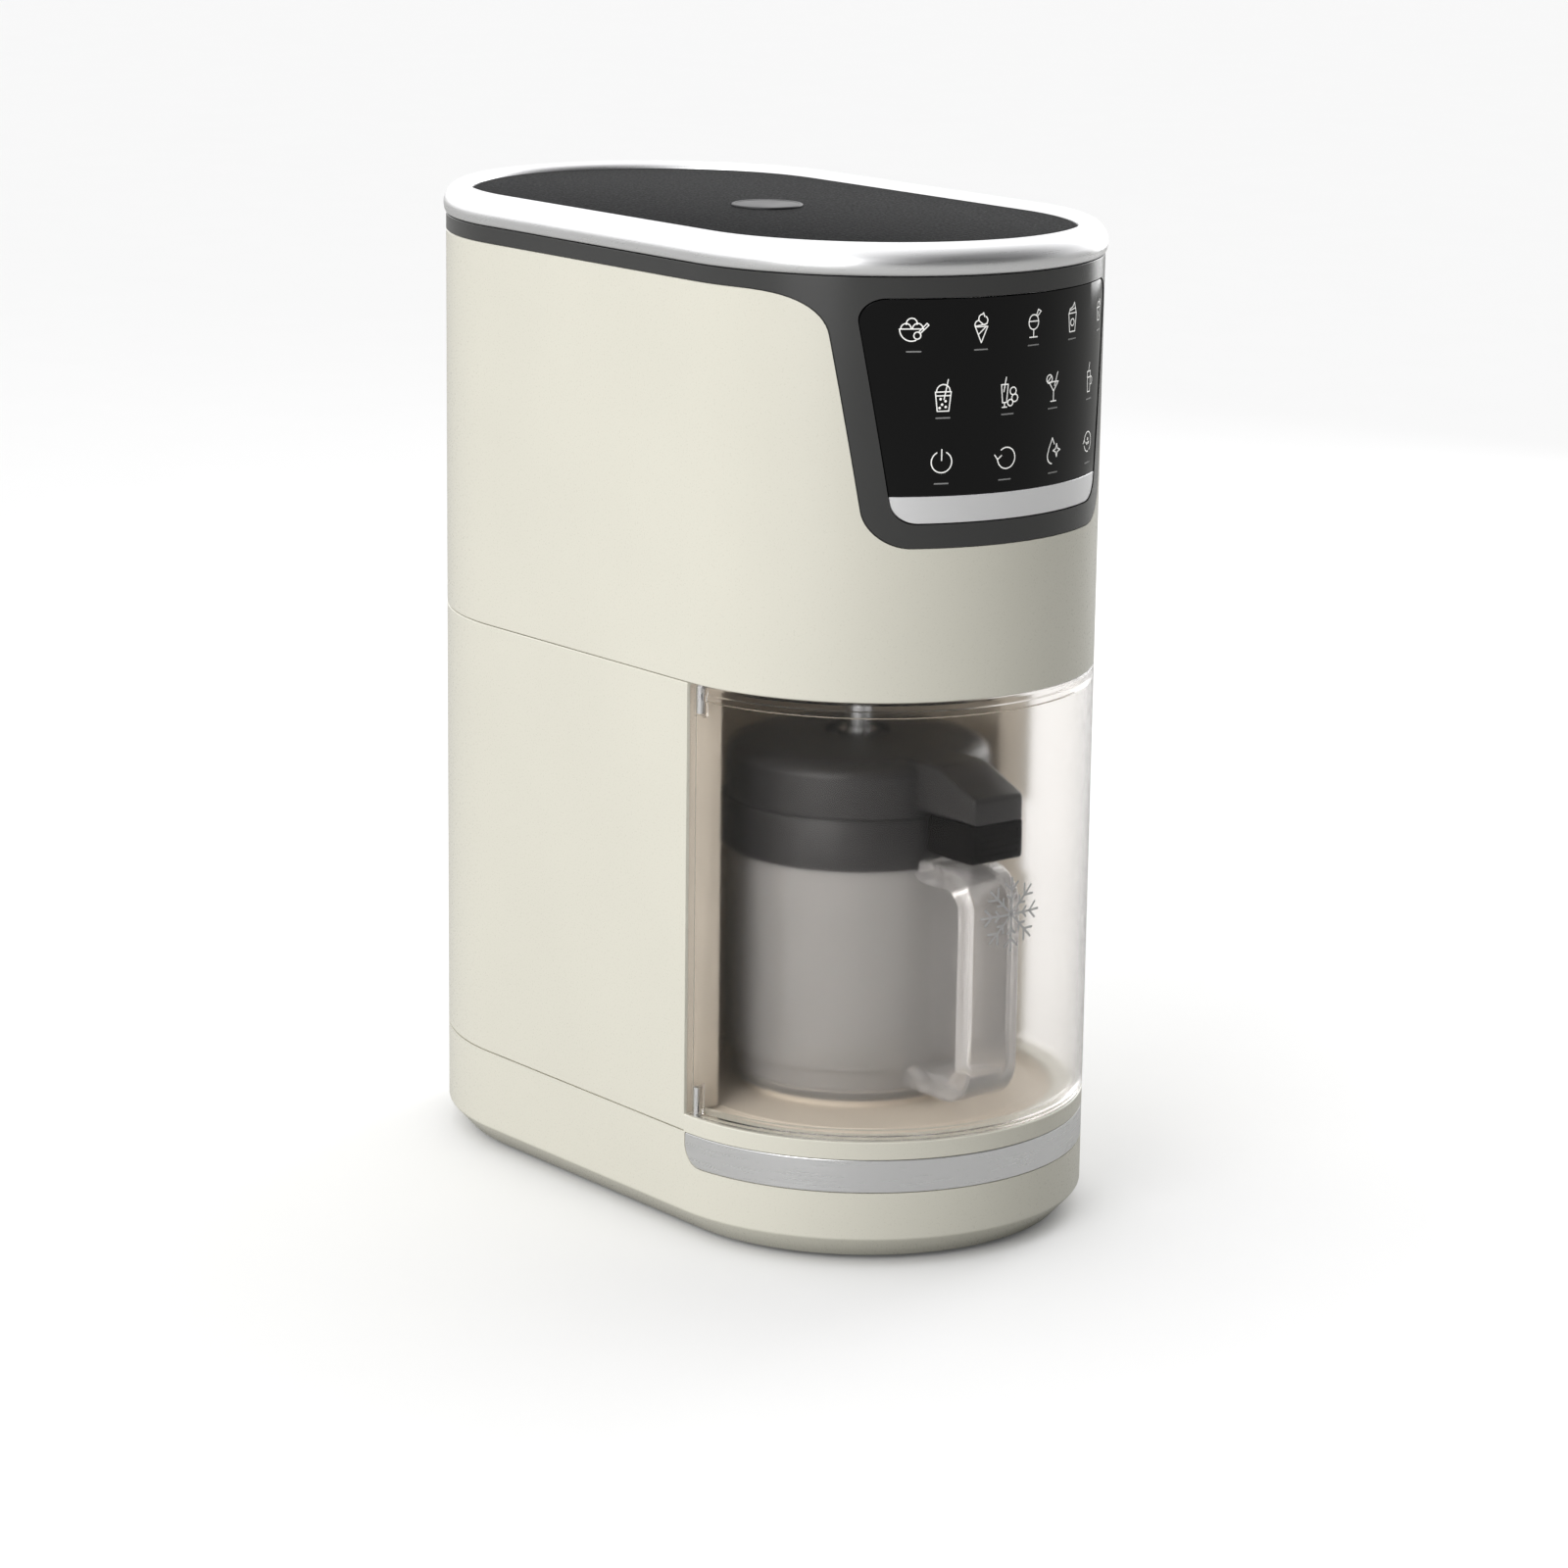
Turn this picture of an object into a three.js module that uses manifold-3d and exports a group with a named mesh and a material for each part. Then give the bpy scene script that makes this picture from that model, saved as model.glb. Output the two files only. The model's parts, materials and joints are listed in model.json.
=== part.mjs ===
// A countertop ice cream maker: a tall racetrack-plan body with a head over a see-through
// chamber. A lidded bowl stands in the chamber. A motor on a carriage spins a blade through
// a belt, and a lead screw lowers the carriage, so the blade shaves down through the frozen pot.
// Millimetres, +Z up, front at -Y, origin on the table under the middle of the body.
import * as THREE from "three";
import { mergeVertices } from "three/addons/utils/BufferGeometryUtils.js";
import Module from "manifold-3d";

const wasm = await Module();
wasm.setup();

// ---------------------------------------------------------------- overall sizes
const WIDTH = 175;
const DEPTH = 305;
const HEIGHT = 385;

// ---------------------------------------------------------------- body
const BODY_INSET = 1; // the walls stand this far inside the top ring's widest line
const WALL = 2.5;
const FIT = 0.3; // gap between two pieces that meet
const ARC_STEPS = 16; // facets on each half-round end
const ROUND_STEPS = 32; // facets on a full turn of a large round piece
const SHAFT_STEPS = 12; // facets on a full turn of a shaft or bore

const FOOT_HEIGHT = 2;
const FOOT_RADIUS = 9;
const FOOT_STEM_RADIUS = 3;
const FOOT_INSET = 28; // feet and screws in from the walls, at an angle round each end
const FOOT_TURN = 35;
const CHAMFER_HEIGHT = 8.6;
const CHAMFER_INSET = 8.3;
const BASE_PLATE_THICKNESS = 2.4;
const BASE_LIP = 3;
const DECK = 42.2; // top of the base under the column
const RIM = 49; // top of the base under the chamber
const TRIM_BOTTOM = 29;
const TRIM_THICKNESS = 1.2;
const TRIM_CORNER = 9;
const SCREW_HEAD_RADIUS = 3.6;
const SCREW_RADIUS = 1.8;
const SCREW_LENGTH = 16;
const SCREW_INSET = 25.5;
const SCREW_TURN = 60;

// ---------------------------------------------------------------- chamber and door
const CHAMBER_HEIGHT = 168; // from the rim to the head
const LINER_INSET = 10; // from the body's wall to the liner's face
const LINER_JAMB = 7; // how far the liner's front frame reaches into the chamber
const FLOOR_THICKNESS = 3;
const FLOOR_DROP = 0.6;
const CEILING_THICKNESS = 3;
const DOOR_WALL = 2.5;
const DOOR_GAP = 0.4; // above and below the door
const DOOR_EDGE = 1.3; // from the centre line of the round end to the door's two edges
const DOOR_RIB = 2;
const DOOR_RIB_HEIGHT = 2.5;
const DOOR_RIB_DROP = 3.5;
const HINGE_INSET = 0.8; // from the door's inner face to the pin's axis
const HINGE_SETBACK = 4; // from the centre line of the round end to the pin's axis
const PIN_RADIUS = 1.5;
const PIN_DEPTH = 5;
const KNUCKLE_RADIUS = 2.8;
const KNUCKLE_LENGTH = 12;
const FINGER_RECESS = [7, 30]; // depth and height, in the column's edge beside the door
const FINGER_LEVEL = 118;
const MAGNET_SIZE = [2, 6, 8];
const MAGNET_DROP = 15; // from the head down to the magnet's foot

// ---------------------------------------------------------------- head
const RING_HEIGHT = 11.6;
const RING_WIDTH = 11.5;
const COVER_DROP = 2.6;
const COVER_THICKNESS = 4;
const BADGE_RADIUS = 13.8;
const BAND_HEIGHT = 6.6; // the bezel's band under the ring
const BEZEL_HEIGHT = 99.2; // from the ring down to the bezel's lower edge
const BEZEL_HALF_TOP = 68.5;
const BEZEL_HALF_BOTTOM = 56.2;
const BEZEL_CORNER = 16;
const BEZEL_FLARE = 17;
const PANEL_DROP = 8.2; // from the ring down to the touch panel
const PANEL_HEIGHT = 81.6;
const PANEL_HALF_TOP = 60.1;
const PANEL_HALF_BOTTOM = 48.2;
const PANEL_CORNER_TOP = 8;
const PANEL_CORNER_BOTTOM = 9;
const PANEL_RECESS = 0.3;
const STRIP_HEIGHT = 9.8;

// ---------------------------------------------------------------- bowl, pot and lid
const BOWL_SETBACK = 5; // bowl's axis behind the centre of the chamber
const BOWL_RADIUS = 50;
const BOWL_WALL = 2.2;
const BOWL_FLOOR = 3;
const BOWL_HEIGHT = 100;
const COLLAR_STEP = 2.5; // the bowl's foot is this much narrower
const COLLAR_HEIGHT = 11;
const SEAT_HEIGHT = 2; // of the seat over the chamber's floor
const POT_WALL = 1.5;
const POT_TAPER = 2.8;
const HANDLE_HALF_WIDTH = 12;
const HANDLE_CLEARANCE = 6; // from the handle's front face to the door
const HANDLE_BAR = 9;
const HANDLE_DROP = 4; // from the bowl's rim down to the handle's top
const HANDLE_HEIGHT = 91;
const HANDLE_CORNER = 15;
const FINGER_CORNER = 7;
const LID_WALL = 2.1;
const LID_SKIRT = 8; // how far the lid's skirt reaches below the bowl's rim
const LID_BAND = 20;
const LID_HEIGHT = 44;
const LID_COLLAR = 13;
const HOOD_DROP = 11; // from the lid's top to the hood's front edge
const LATCH_HEIGHT = 15;
const LATCH_TRAVEL = 3;
const LATCH_THROAT = 5;

// ---------------------------------------------------------------- drive
const TOP_CLEARANCE = 28; // from the top of the body down to the upper face of the belt
const BELT_WIDTH = 9;
const BELT_THICKNESS = 2;
const BELT_GAP = 0.4;
const FLANGE = 1.2;
const ARM_THICKNESS = 6;
const ARM_HALF_WIDTH = 20;
const MOTOR_RADIUS = 38;
const MOTOR_LENGTH = 84;
const MOTOR_CAN_WALL = 2;
const CORE_RADIUS = 28;
const MOTOR_SHAFT_RADIUS = 4;
const FAN_RADIUS = 33;
const FAN_HEIGHT = 8;
const FAN_BLADES = 8;
const MOTOR_PULLEY_RADIUS = 10;
const SPINDLE_PULLEY_RADIUS = 28;
const SPINDLE_RADIUS = 5;
const COUPLING_RADIUS = 8;
const COUPLING_LENGTH = 16;
const BEARING_RADIUS = 11;
const BEARING_HEIGHT = 8;
const HOUSING_LENGTH = 22;
const RODS_SETBACK = 24; // rods behind the liner, then the motor behind the rods
const MOTOR_SETBACK = 58;
const ROD_X = 48;
const ROD_RADIUS = 4;
const BUSH_RADIUS = 7;
const BUSH_LENGTH = 22;
const SCREW_SHAFT_RADIUS = 5;
const NUT_RADIUS = 10;
const NUT_LENGTH = 8;
const FRAME_THICKNESS = 4;
const GEAR_MODULE = 1.25;
const GEAR_TEETH = 32;
const PINION_TEETH = 12;
const GEAR_FACE = 6;
const GEAR_BACKLASH = 0.2;
const FEED_MOTOR_RADIUS = 13;
const FEED_MOTOR_LENGTH = 34;
const HUB_RADIUS = 12;
const HUB_STEM_RADIUS = 6;
const HUB_STEM_LENGTH = 10;
const BLADE_GAP = 1.2; // between the blade's tips and the narrowest of the pot
const BLADE_THICKNESS = 2;
const BLADE_HALF_WIDTH = 8;
const FIN_HEIGHT = 6;
const BLADE_SET_UP = 2; // parked blade above the pot's rim

// ---------------------------------------------------------------- electrics
const BOARD_THICKNESS = 1.6;
const CONTROL_BOARD_SIZE = [88, 62];
const POWER_BOARD_SIZE = [78, 76];
const POWER_BOARD_INSET = 20; // from the rear wall
const CONTROL_BOARD_GAP = 2; // from the board's upright edges to the front wall
const GLAND_RADIUS = 8;
const GLAND_BORE = 3.8;
const GLAND_LEVEL = 24;

// ---------------------------------------------------------------- places worked out from the sizes
const END_Y = (DEPTH - WIDTH) / 2; // centres of the two round ends are at y = -END_Y and +END_Y
const BODY_RADIUS = WIDTH / 2 - BODY_INSET;
const INNER_RADIUS = BODY_RADIUS - WALL;
const LINER_RADIUS = BODY_RADIUS - LINER_INSET;
const FLOOR_RADIUS = LINER_RADIUS - 2;
const RODS_Y = -END_Y + LINER_RADIUS + WALL + RODS_SETBACK;
const MOTOR_Y = RODS_Y + MOTOR_SETBACK;
const POWER_BOARD_Y = END_Y + INNER_RADIUS - POWER_BOARD_INSET;
const BASE_BOTTOM = FOOT_HEIGHT;
const HEAD_BOTTOM = RIM + CHAMBER_HEIGHT;
const RING_BOTTOM = HEIGHT - RING_HEIGHT;
const BAND_BOTTOM = RING_BOTTOM - BAND_HEIGHT;
const COVER_TOP = HEIGHT - COVER_DROP;
const PANEL_TOP = RING_BOTTOM - PANEL_DROP;
const PANEL_BOTTOM = PANEL_TOP - PANEL_HEIGHT;
const DOOR_BOTTOM = RIM + DOOR_GAP;
const DOOR_TOP = HEAD_BOTTOM - DOOR_GAP;
const DOOR_INNER = BODY_RADIUS - DOOR_WALL;
const HINGE_X = -(DOOR_INNER - HINGE_INSET);
const HINGE_Y = -END_Y - HINGE_SETBACK;
const BOWL_Y = -END_Y + BOWL_SETBACK;
const BOWL_BOTTOM = RIM + SEAT_HEIGHT + FIT;
const BOWL_TOP = BOWL_BOTTOM + BOWL_HEIGHT;
const BOWL_INNER = BOWL_RADIUS - BOWL_WALL;
const COLLAR_RADIUS = BOWL_RADIUS - COLLAR_STEP;
const POT_TOP_RADIUS = BOWL_INNER - 0.8;
const POT_FOOT_RADIUS = POT_TOP_RADIUS - POT_TAPER;
const BLADE_RADIUS = POT_FOOT_RADIUS - POT_WALL - BLADE_GAP;
const POT_BOTTOM = BOWL_BOTTOM + BOWL_FLOOR + FIT;
const LID_INNER = BOWL_RADIUS + FIT;
const LID_RADIUS = LID_INNER + LID_WALL;
const LID_BOTTOM = BOWL_TOP - LID_SKIRT;
const LID_TOP = LID_BOTTOM + LID_HEIGHT;
const HANDLE_FRONT = -END_Y - DOOR_INNER + HANDLE_CLEARANCE;
const HANDLE_TOP = BOWL_TOP - HANDLE_DROP;
const LATCH_BOTTOM = HANDLE_TOP + LATCH_THROAT - 1;
const BELT_TOP = HEIGHT - TOP_CLEARANCE;
const BELT_BOTTOM = BELT_TOP - BELT_WIDTH;
const ARM_TOP = BELT_BOTTOM - FLANGE - 2;
const ARM_BOTTOM = ARM_TOP - ARM_THICKNESS;
const BLADE_Z = BOWL_TOP + BLADE_SET_UP + FIN_HEIGHT;
const HUB_BOTTOM = BLADE_Z + BLADE_THICKNESS;
const HUB_TOP = LID_TOP - 2;
const COUPLING_TOP = HUB_TOP + 2;
const GEAR_RADIUS = (GEAR_MODULE * GEAR_TEETH) / 2;
const PINION_RADIUS = (GEAR_MODULE * PINION_TEETH) / 2;
const PINION_X = GEAR_RADIUS + PINION_RADIUS + GEAR_BACKLASH;
const FRAME_TOP = DECK + FIT + FRAME_THICKNESS;
const GEAR_BOTTOM = FRAME_TOP + 4;
const FAR = DEPTH + WIDTH; // longer than any piece, for cutting

// ---------------------------------------------------------------- solids
// A closed geometry as a solid, turned the right way round if its faces point inwards.
function solidOf(geometry) {
  const bare = new THREE.BufferGeometry();
  const source = geometry.index ? geometry.toNonIndexed() : geometry;
  bare.setAttribute("position", source.getAttribute("position"));
  const merged = mergeVertices(bare, 1e-4);
  const triVerts = new Uint32Array(merged.index.array);
  const vertProperties = merged.attributes.position.array;
  const make = () =>
    new wasm.Manifold(new wasm.Mesh({ numProp: 3, vertProperties, triVerts }));
  const made = make();
  if (made.volume() > 0) return made;
  for (let i = 0; i < triVerts.length; i += 3) {
    [triVerts[i + 1], triVerts[i + 2]] = [triVerts[i + 2], triVerts[i + 1]];
  }
  return make();
}

const join = (...solids) => solids.reduce((a, b) => a.add(b));
const cut = (solid, ...tools) => tools.reduce((a, b) => a.subtract(b), solid);

function geometryOf(solid) {
  const { vertProperties, triVerts, numProp } = solid.getMesh();
  const positions = new Float32Array((vertProperties.length / numProp) * 3);
  for (let i = 0; i < positions.length / 3; i++) {
    positions.set(vertProperties.subarray(i * numProp, i * numProp + 3), i * 3);
  }
  const geometry = new THREE.BufferGeometry();
  geometry.setAttribute("position", new THREE.BufferAttribute(positions, 3));
  geometry.setIndex(new THREE.BufferAttribute(triVerts, 1));
  geometry.computeVertexNormals();
  return geometry;
}

function block(x0, x1, y0, y1, z0, z1) {
  const geometry = new THREE.BoxGeometry(x1 - x0, y1 - y0, z1 - z0);
  geometry.translate((x0 + x1) / 2, (y0 + y1) / 2, (z0 + z1) / 2);
  return solidOf(geometry);
}

function rod(radius, z0, z1, x = 0, y = 0, steps = ROUND_STEPS) {
  const geometry = new THREE.CylinderGeometry(radius, radius, z1 - z0, steps);
  geometry.rotateX(Math.PI / 2);
  geometry.translate(x, y, (z0 + z1) / 2);
  return solidOf(geometry);
}

const ring = (outer, inner, z0, z1, x, y, steps) =>
  cut(rod(outer, z0, z1, x, y, steps), rod(inner, z0 - 1, z1 + 1, x, y, steps));

// A round piece from [radius, z] points, closed on the axis or on itself.
function turned(profile, x = 0, y = 0, steps = ROUND_STEPS) {
  const points = profile.map(([r, z]) => new THREE.Vector2(r, z));
  const geometry = new THREE.LatheGeometry(points, steps);
  geometry.rotateX(Math.PI / 2);
  geometry.translate(x, y, 0);
  return solidOf(geometry);
}

const closed = (profile) => [...profile, profile[0]];

function plate(shape, z0, z1, curveSegments = ARC_STEPS / 2) {
  const geometry = new THREE.ExtrudeGeometry(shape, {
    depth: z1 - z0,
    bevelEnabled: false,
    curveSegments,
  });
  geometry.translate(0, 0, z0);
  return solidOf(geometry);
}

// An outline in X and Z, pushed along Y from y0 to y1.
function frontPlate(shape, y0, y1, curveSegments = 3) {
  const depth = y1 - y0;
  const geometry = new THREE.ExtrudeGeometry(shape, {
    depth,
    bevelEnabled: false,
    curveSegments,
  });
  geometry.rotateX(Math.PI / 2);
  geometry.translate(0, y1, 0);
  return solidOf(geometry);
}

// An outline in Y and Z, pushed along X from x0 to x1.
function sidePlate(shape, x0, x1, curveSegments = 3) {
  const geometry = new THREE.ExtrudeGeometry(shape, {
    depth: x1 - x0,
    bevelEnabled: false,
    curveSegments,
  });
  geometry.rotateX(Math.PI / 2);
  geometry.rotateZ(Math.PI / 2);
  geometry.translate(x0, 0, 0);
  return solidOf(geometry);
}

// A polygon whose corners are rounded. Each corner is [x, y, radius].
function roundedOutline(corners) {
  const shape = new THREE.Shape();
  const count = corners.length;
  corners.forEach(([x, y, radius = 0], i) => {
    const here = new THREE.Vector2(x, y);
    const before = corners[(i + count - 1) % count];
    const after = corners[(i + 1) % count];
    const back = new THREE.Vector2(before[0], before[1]).sub(here).normalize();
    const ahead = new THREE.Vector2(after[0], after[1]).sub(here).normalize();
    if (radius === 0) {
      if (i === 0) shape.moveTo(x, y);
      else shape.lineTo(x, y);
      return;
    }
    const half = back.angleTo(ahead) / 2;
    const start = here.clone().addScaledVector(back, radius / Math.tan(half));
    const end = here.clone().addScaledVector(ahead, radius / Math.tan(half));
    const middle = back.clone().add(ahead).normalize();
    const centre = here.clone().addScaledVector(middle, radius / Math.sin(half));
    const from = start.sub(centre).angle();
    const to = end.sub(centre).angle();
    const clockwise = back.cross(ahead) > 0;
    shape.absarc(centre.x, centre.y, radius, from, to, clockwise);
  });
  shape.closePath();
  return shape;
}

// ---------------------------------------------------------------- the racetrack plan
function racetrack(inset) {
  const radius = WIDTH / 2 - inset;
  const shape = new THREE.Shape();
  shape.absarc(0, END_Y, radius, 0, Math.PI, false);
  shape.absarc(0, -END_Y, radius, Math.PI, 2 * Math.PI, false);
  shape.closePath();
  return shape;
}

const track = (inset, z0, z1) => plate(racetrack(inset), z0, z1);

const trackWall = (outer, inner, z0, z1) =>
  cut(track(outer, z0, z1), track(inner, z0 - 1, z1 + 1));

function trackRing(inset, z) {
  const radius = WIDTH / 2 - inset;
  const points = [];
  for (const side of [1, -1]) {
    for (let i = 0; i <= ARC_STEPS; i++) {
      const angle = (i / ARC_STEPS) * Math.PI;
      points.push([side * radius * Math.cos(angle), side * (END_Y + radius * Math.sin(angle)), z]);
    }
  }
  return points;
}

// Racetrack outlines stacked from [inset, z] pairs: a loft with flat ends, or a closed ring.
function trackLoft(profile, isRing = false) {
  const rings = profile.map(([inset, z]) => trackRing(inset, z));
  const count = rings[0].length;
  const index = [];
  const levels = isRing ? rings.length : rings.length - 1;
  for (let level = 0; level < levels; level++) {
    const low = level * count;
    const high = ((level + 1) % rings.length) * count;
    for (let i = 0; i < count; i++) {
      const next = (i + 1) % count;
      index.push(low + i, low + next, high + next, low + i, high + next, high + i);
    }
  }
  if (!isRing) {
    const top = (rings.length - 1) * count;
    for (let i = 1; i < count - 1; i++) {
      index.push(0, i + 1, i, top, top + i, top + i + 1);
    }
  }
  const geometry = new THREE.BufferGeometry();
  geometry.setAttribute("position", new THREE.Float32BufferAttribute(rings.flat(2), 3));
  geometry.setIndex(index);
  return solidOf(geometry);
}

const ahead = (y) => block(-FAR, FAR, -FAR, y, -FAR, FAR); // all that is in front of y
const behind = (y) => block(-FAR, FAR, y, FAR, -FAR, FAR);
const under = (z) => block(-FAR, FAR, -FAR, FAR, -FAR, z);
const over = (z) => block(-FAR, FAR, -FAR, FAR, z, FAR);

// ---------------------------------------------------------------- base
// Four places, one in each quarter, at an angle round the two ends.
function quarterPlaces(inset, turn) {
  const angle = THREE.MathUtils.degToRad(turn);
  const x = (BODY_RADIUS - inset) * Math.cos(angle);
  const y = END_Y + (BODY_RADIUS - inset) * Math.sin(angle);
  return [
    ["front_left", -x, -y],
    ["front_right", x, -y],
    ["rear_left", -x, y],
    ["rear_right", x, y],
  ];
}

const footPlaces = quarterPlaces(FOOT_INSET, FOOT_TURN);
const screwPlaces = quarterPlaces(SCREW_INSET, SCREW_TURN);

// The side outline of the trim's pocket, whose rear lower corner is rounded.
function trimOutline(gap) {
  return roundedOutline([
    [-FAR, TRIM_BOTTOM + gap, 0],
    [-END_Y - gap, TRIM_BOTTOM + gap, TRIM_CORNER],
    [-END_Y - gap, DECK - gap, 0],
    [-FAR, DECK - gap, 0],
  ]);
}

function baseHousing() {
  const chamferTop = BASE_BOTTOM + CHAMFER_HEIGHT;
  const footInset = BODY_INSET + CHAMFER_INSET;
  const outside = trackLoft([
    [footInset, BASE_BOTTOM],
    [BODY_INSET, chamferTop],
    [BODY_INSET, RIM],
  ]);
  const inside = trackLoft([
    [footInset + BASE_LIP, BASE_BOTTOM - 1],
    [footInset + BASE_LIP, BASE_BOTTOM + BASE_PLATE_THICKNESS + 1],
    [BODY_INSET + WALL + TRIM_THICKNESS, chamferTop + 2],
    [BODY_INSET + WALL + TRIM_THICKNESS, DECK - WALL],
  ]);
  const floorDisc = rod(LINER_RADIUS - FIT, DECK - 1, RIM + 1, 0, -END_Y);
  const step = cut(behind(-END_Y + 0.5).intersect(over(DECK)), floorDisc);
  const trimCore = track(BODY_INSET + TRIM_THICKNESS + FIT, 0, HEIGHT);
  const trimPocket = cut(sidePlate(trimOutline(0), -FAR, FAR), trimCore);
  const deckOpening = block(-36, 36, MOTOR_Y - 30, MOTOR_Y + 12, DECK - 2 * WALL, DECK + 1);
  const floorBottom = RIM - FLOOR_THICKNESS;
  const floorPocket = rod(FLOOR_RADIUS + FIT, floorBottom, RIM + 1, 0, -END_Y);
  const underFloor = rod(LINER_RADIUS - 2 * WALL, DECK - 2 * WALL, floorBottom - WALL, 0, -END_Y);
  const glandLow = GLAND_LEVEL - GLAND_RADIUS;
  const glandHole = block(-GLAND_RADIUS, GLAND_RADIUS, END_Y, FAR, glandLow, glandLow + 2 * GLAND_RADIUS);
  const notch = (side) => block(side * 80 - 5, side * 80 + 5, END_Y - 13, END_Y - 9, 0, BASE_BOTTOM + 1.5);
  const pinHole = rod(PIN_RADIUS + FIT, RIM - PIN_DEPTH - FIT, RIM + 1, HINGE_X, HINGE_Y, SHAFT_STEPS);
  const openings = [deckOpening, floorPocket, underFloor, glandHole, notch(-1), notch(1)];
  const shell = cut(outside, inside, step, trimPocket, ...openings);
  const bossFoot = BASE_BOTTOM + BASE_PLATE_THICKNESS + 2 * FIT;
  const bosses = screwPlaces.map(([, x, y]) => {
    const bossTop = (y < 0 ? floorBottom : DECK) - WALL + 0.5;
    return rod(SCREW_RADIUS + 3, bossFoot, bossTop, x, y, SHAFT_STEPS);
  });
  const bores = screwPlaces.map(([, x, y]) =>
    rod(SCREW_RADIUS + FIT, BASE_BOTTOM, BASE_BOTTOM + SCREW_LENGTH + 2, x, y, SHAFT_STEPS),
  );
  return cut(join(shell, ...bosses), ...bores, pinHole);
}

function basePlate() {
  const bottom = BASE_BOTTOM + FIT;
  const top = bottom + BASE_PLATE_THICKNESS;
  const whole = track(BODY_INSET + CHAMFER_INSET + BASE_LIP + FIT, bottom, top);
  const slot = (x) => block(x - 2, x + 2, END_Y - 25, END_Y + 19, 0, top + 1);
  const slots = [-20, -10, 0, 10, 20].map(slot);
  const stemHole = ([, x, y]) => rod(FOOT_STEM_RADIUS + FIT, 0, top + 1, x, y, SHAFT_STEPS);
  const stemHoles = footPlaces.map(stemHole);
  const screwHoles = screwPlaces.map(([, x, y]) => rod(SCREW_RADIUS + FIT, 0, top + 1, x, y, SHAFT_STEPS));
  const seats = screwPlaces.map(([, x, y]) => rod(SCREW_HEAD_RADIUS + FIT, 0, top - 1, x, y, SHAFT_STEPS));
  return cut(whole, ...slots, ...stemHoles, ...screwHoles, ...seats);
}

function foot(x, y) {
  const stemTop = BASE_BOTTOM + BASE_PLATE_THICKNESS + 2;
  return turned(
    [
      [0, 0],
      [FOOT_RADIUS - 1, 0],
      [FOOT_RADIUS, FOOT_HEIGHT],
      [FOOT_STEM_RADIUS, FOOT_HEIGHT],
      [FOOT_STEM_RADIUS, stemTop],
      [0, stemTop],
    ],
    x, y, SHAFT_STEPS,
  );
}

function baseScrew(x, y) {
  const seat = BASE_BOTTOM + BASE_PLATE_THICKNESS - 1;
  const head = rod(SCREW_HEAD_RADIUS, BASE_BOTTOM + 2 * FIT, seat, x, y, SHAFT_STEPS);
  const shank = rod(SCREW_RADIUS, seat - 0.5, BASE_BOTTOM + SCREW_LENGTH, x, y, SHAFT_STEPS);
  const slot = block(x - SCREW_HEAD_RADIUS, x + SCREW_HEAD_RADIUS, y - 0.4, y + 0.4, 0, BASE_BOTTOM + 1);
  return cut(join(head, shank), slot);
}

function trimBand() {
  const wall = trackWall(BODY_INSET, BODY_INSET + TRIM_THICKNESS, TRIM_BOTTOM, DECK);
  return wall.intersect(sidePlate(trimOutline(FIT), -FAR, FAR));
}

function chamberFloor() {
  const disc = rod(FLOOR_RADIUS, RIM - FLOOR_THICKNESS + FIT, RIM - FLOOR_DROP, 0, -END_Y);
  const seat = ring(COLLAR_RADIUS - 4, COLLAR_RADIUS - 16, RIM - 1, RIM + SEAT_HEIGHT, 0, BOWL_Y);
  return join(disc, seat);
}

function cordGland() {
  const flangeY = END_Y + BODY_RADIUS - WALL - 4;
  const halfHole = GLAND_RADIUS - FIT;
  const low = GLAND_LEVEL - halfHole;
  const body = block(-halfHole, halfHole, flangeY, END_Y + BODY_RADIUS - 0.4, low, low + 2 * halfHole);
  const uprightBore = rod(GLAND_BORE, -FAR, FAR, 0, 0, SHAFT_STEPS);
  const bore = uprightBore.rotate([90, 0, 0]).translate([0, 0, GLAND_LEVEL]);
  return cut(body, bore);
}

// ---------------------------------------------------------------- column and chamber
function columnShell() {
  const wall = trackWall(BODY_INSET, BODY_INSET + WALL, DECK + FIT, HEAD_BOTTOM - FIT);
  const slots = [0, 1, 2, 3].map((i) => block(-16, 16, END_Y, FAR, DECK + 30 + i * 9, DECK + 34 + i * 9));
  const [recessDepth, recessHeight] = FINGER_RECESS;
  const recessBack = -END_Y + 0.5 + recessDepth;
  const recess = block(0, FAR, -END_Y, recessBack, FINGER_LEVEL, FINGER_LEVEL + recessHeight);
  return cut(wall, ahead(-END_Y + 0.5), recess, ...slots);
}

function chamberLiner() {
  const top = HEAD_BOTTOM - FIT;
  const outer = LINER_RADIUS + WALL;
  const back = ring(outer, LINER_RADIUS, DECK + FIT, top, 0, -END_Y);
  const half = cut(back, ahead(-END_Y + 0.7));
  const flange = (side) => {
    const corners = [
      [LINER_RADIUS + 0.4, DECK + FIT],
      [INNER_RADIUS - FIT, DECK + FIT],
      [INNER_RADIUS - FIT, top],
      [LINER_RADIUS - LINER_JAMB, top],
      [LINER_RADIUS - LINER_JAMB, RIM + FIT],
      [LINER_RADIUS + 0.4, RIM + FIT],
    ];
    const outline = new THREE.Shape(corners.map(([x, z]) => new THREE.Vector2(side * x, z)));
    return frontPlate(outline, -END_Y + 0.7, -END_Y + 0.7 + WALL);
  };
  const pocket = doorStrike().boundingBox();
  const [x0, , z0] = pocket.min;
  const [x1, y1, z1] = pocket.max;
  const strikePocket = block(x0 - FIT, x1 + FIT, -END_Y, y1 + FIT, z0 - FIT, z1 + FIT);
  return cut(join(half, flange(-1), flange(1)), strikePocket);
}

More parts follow.
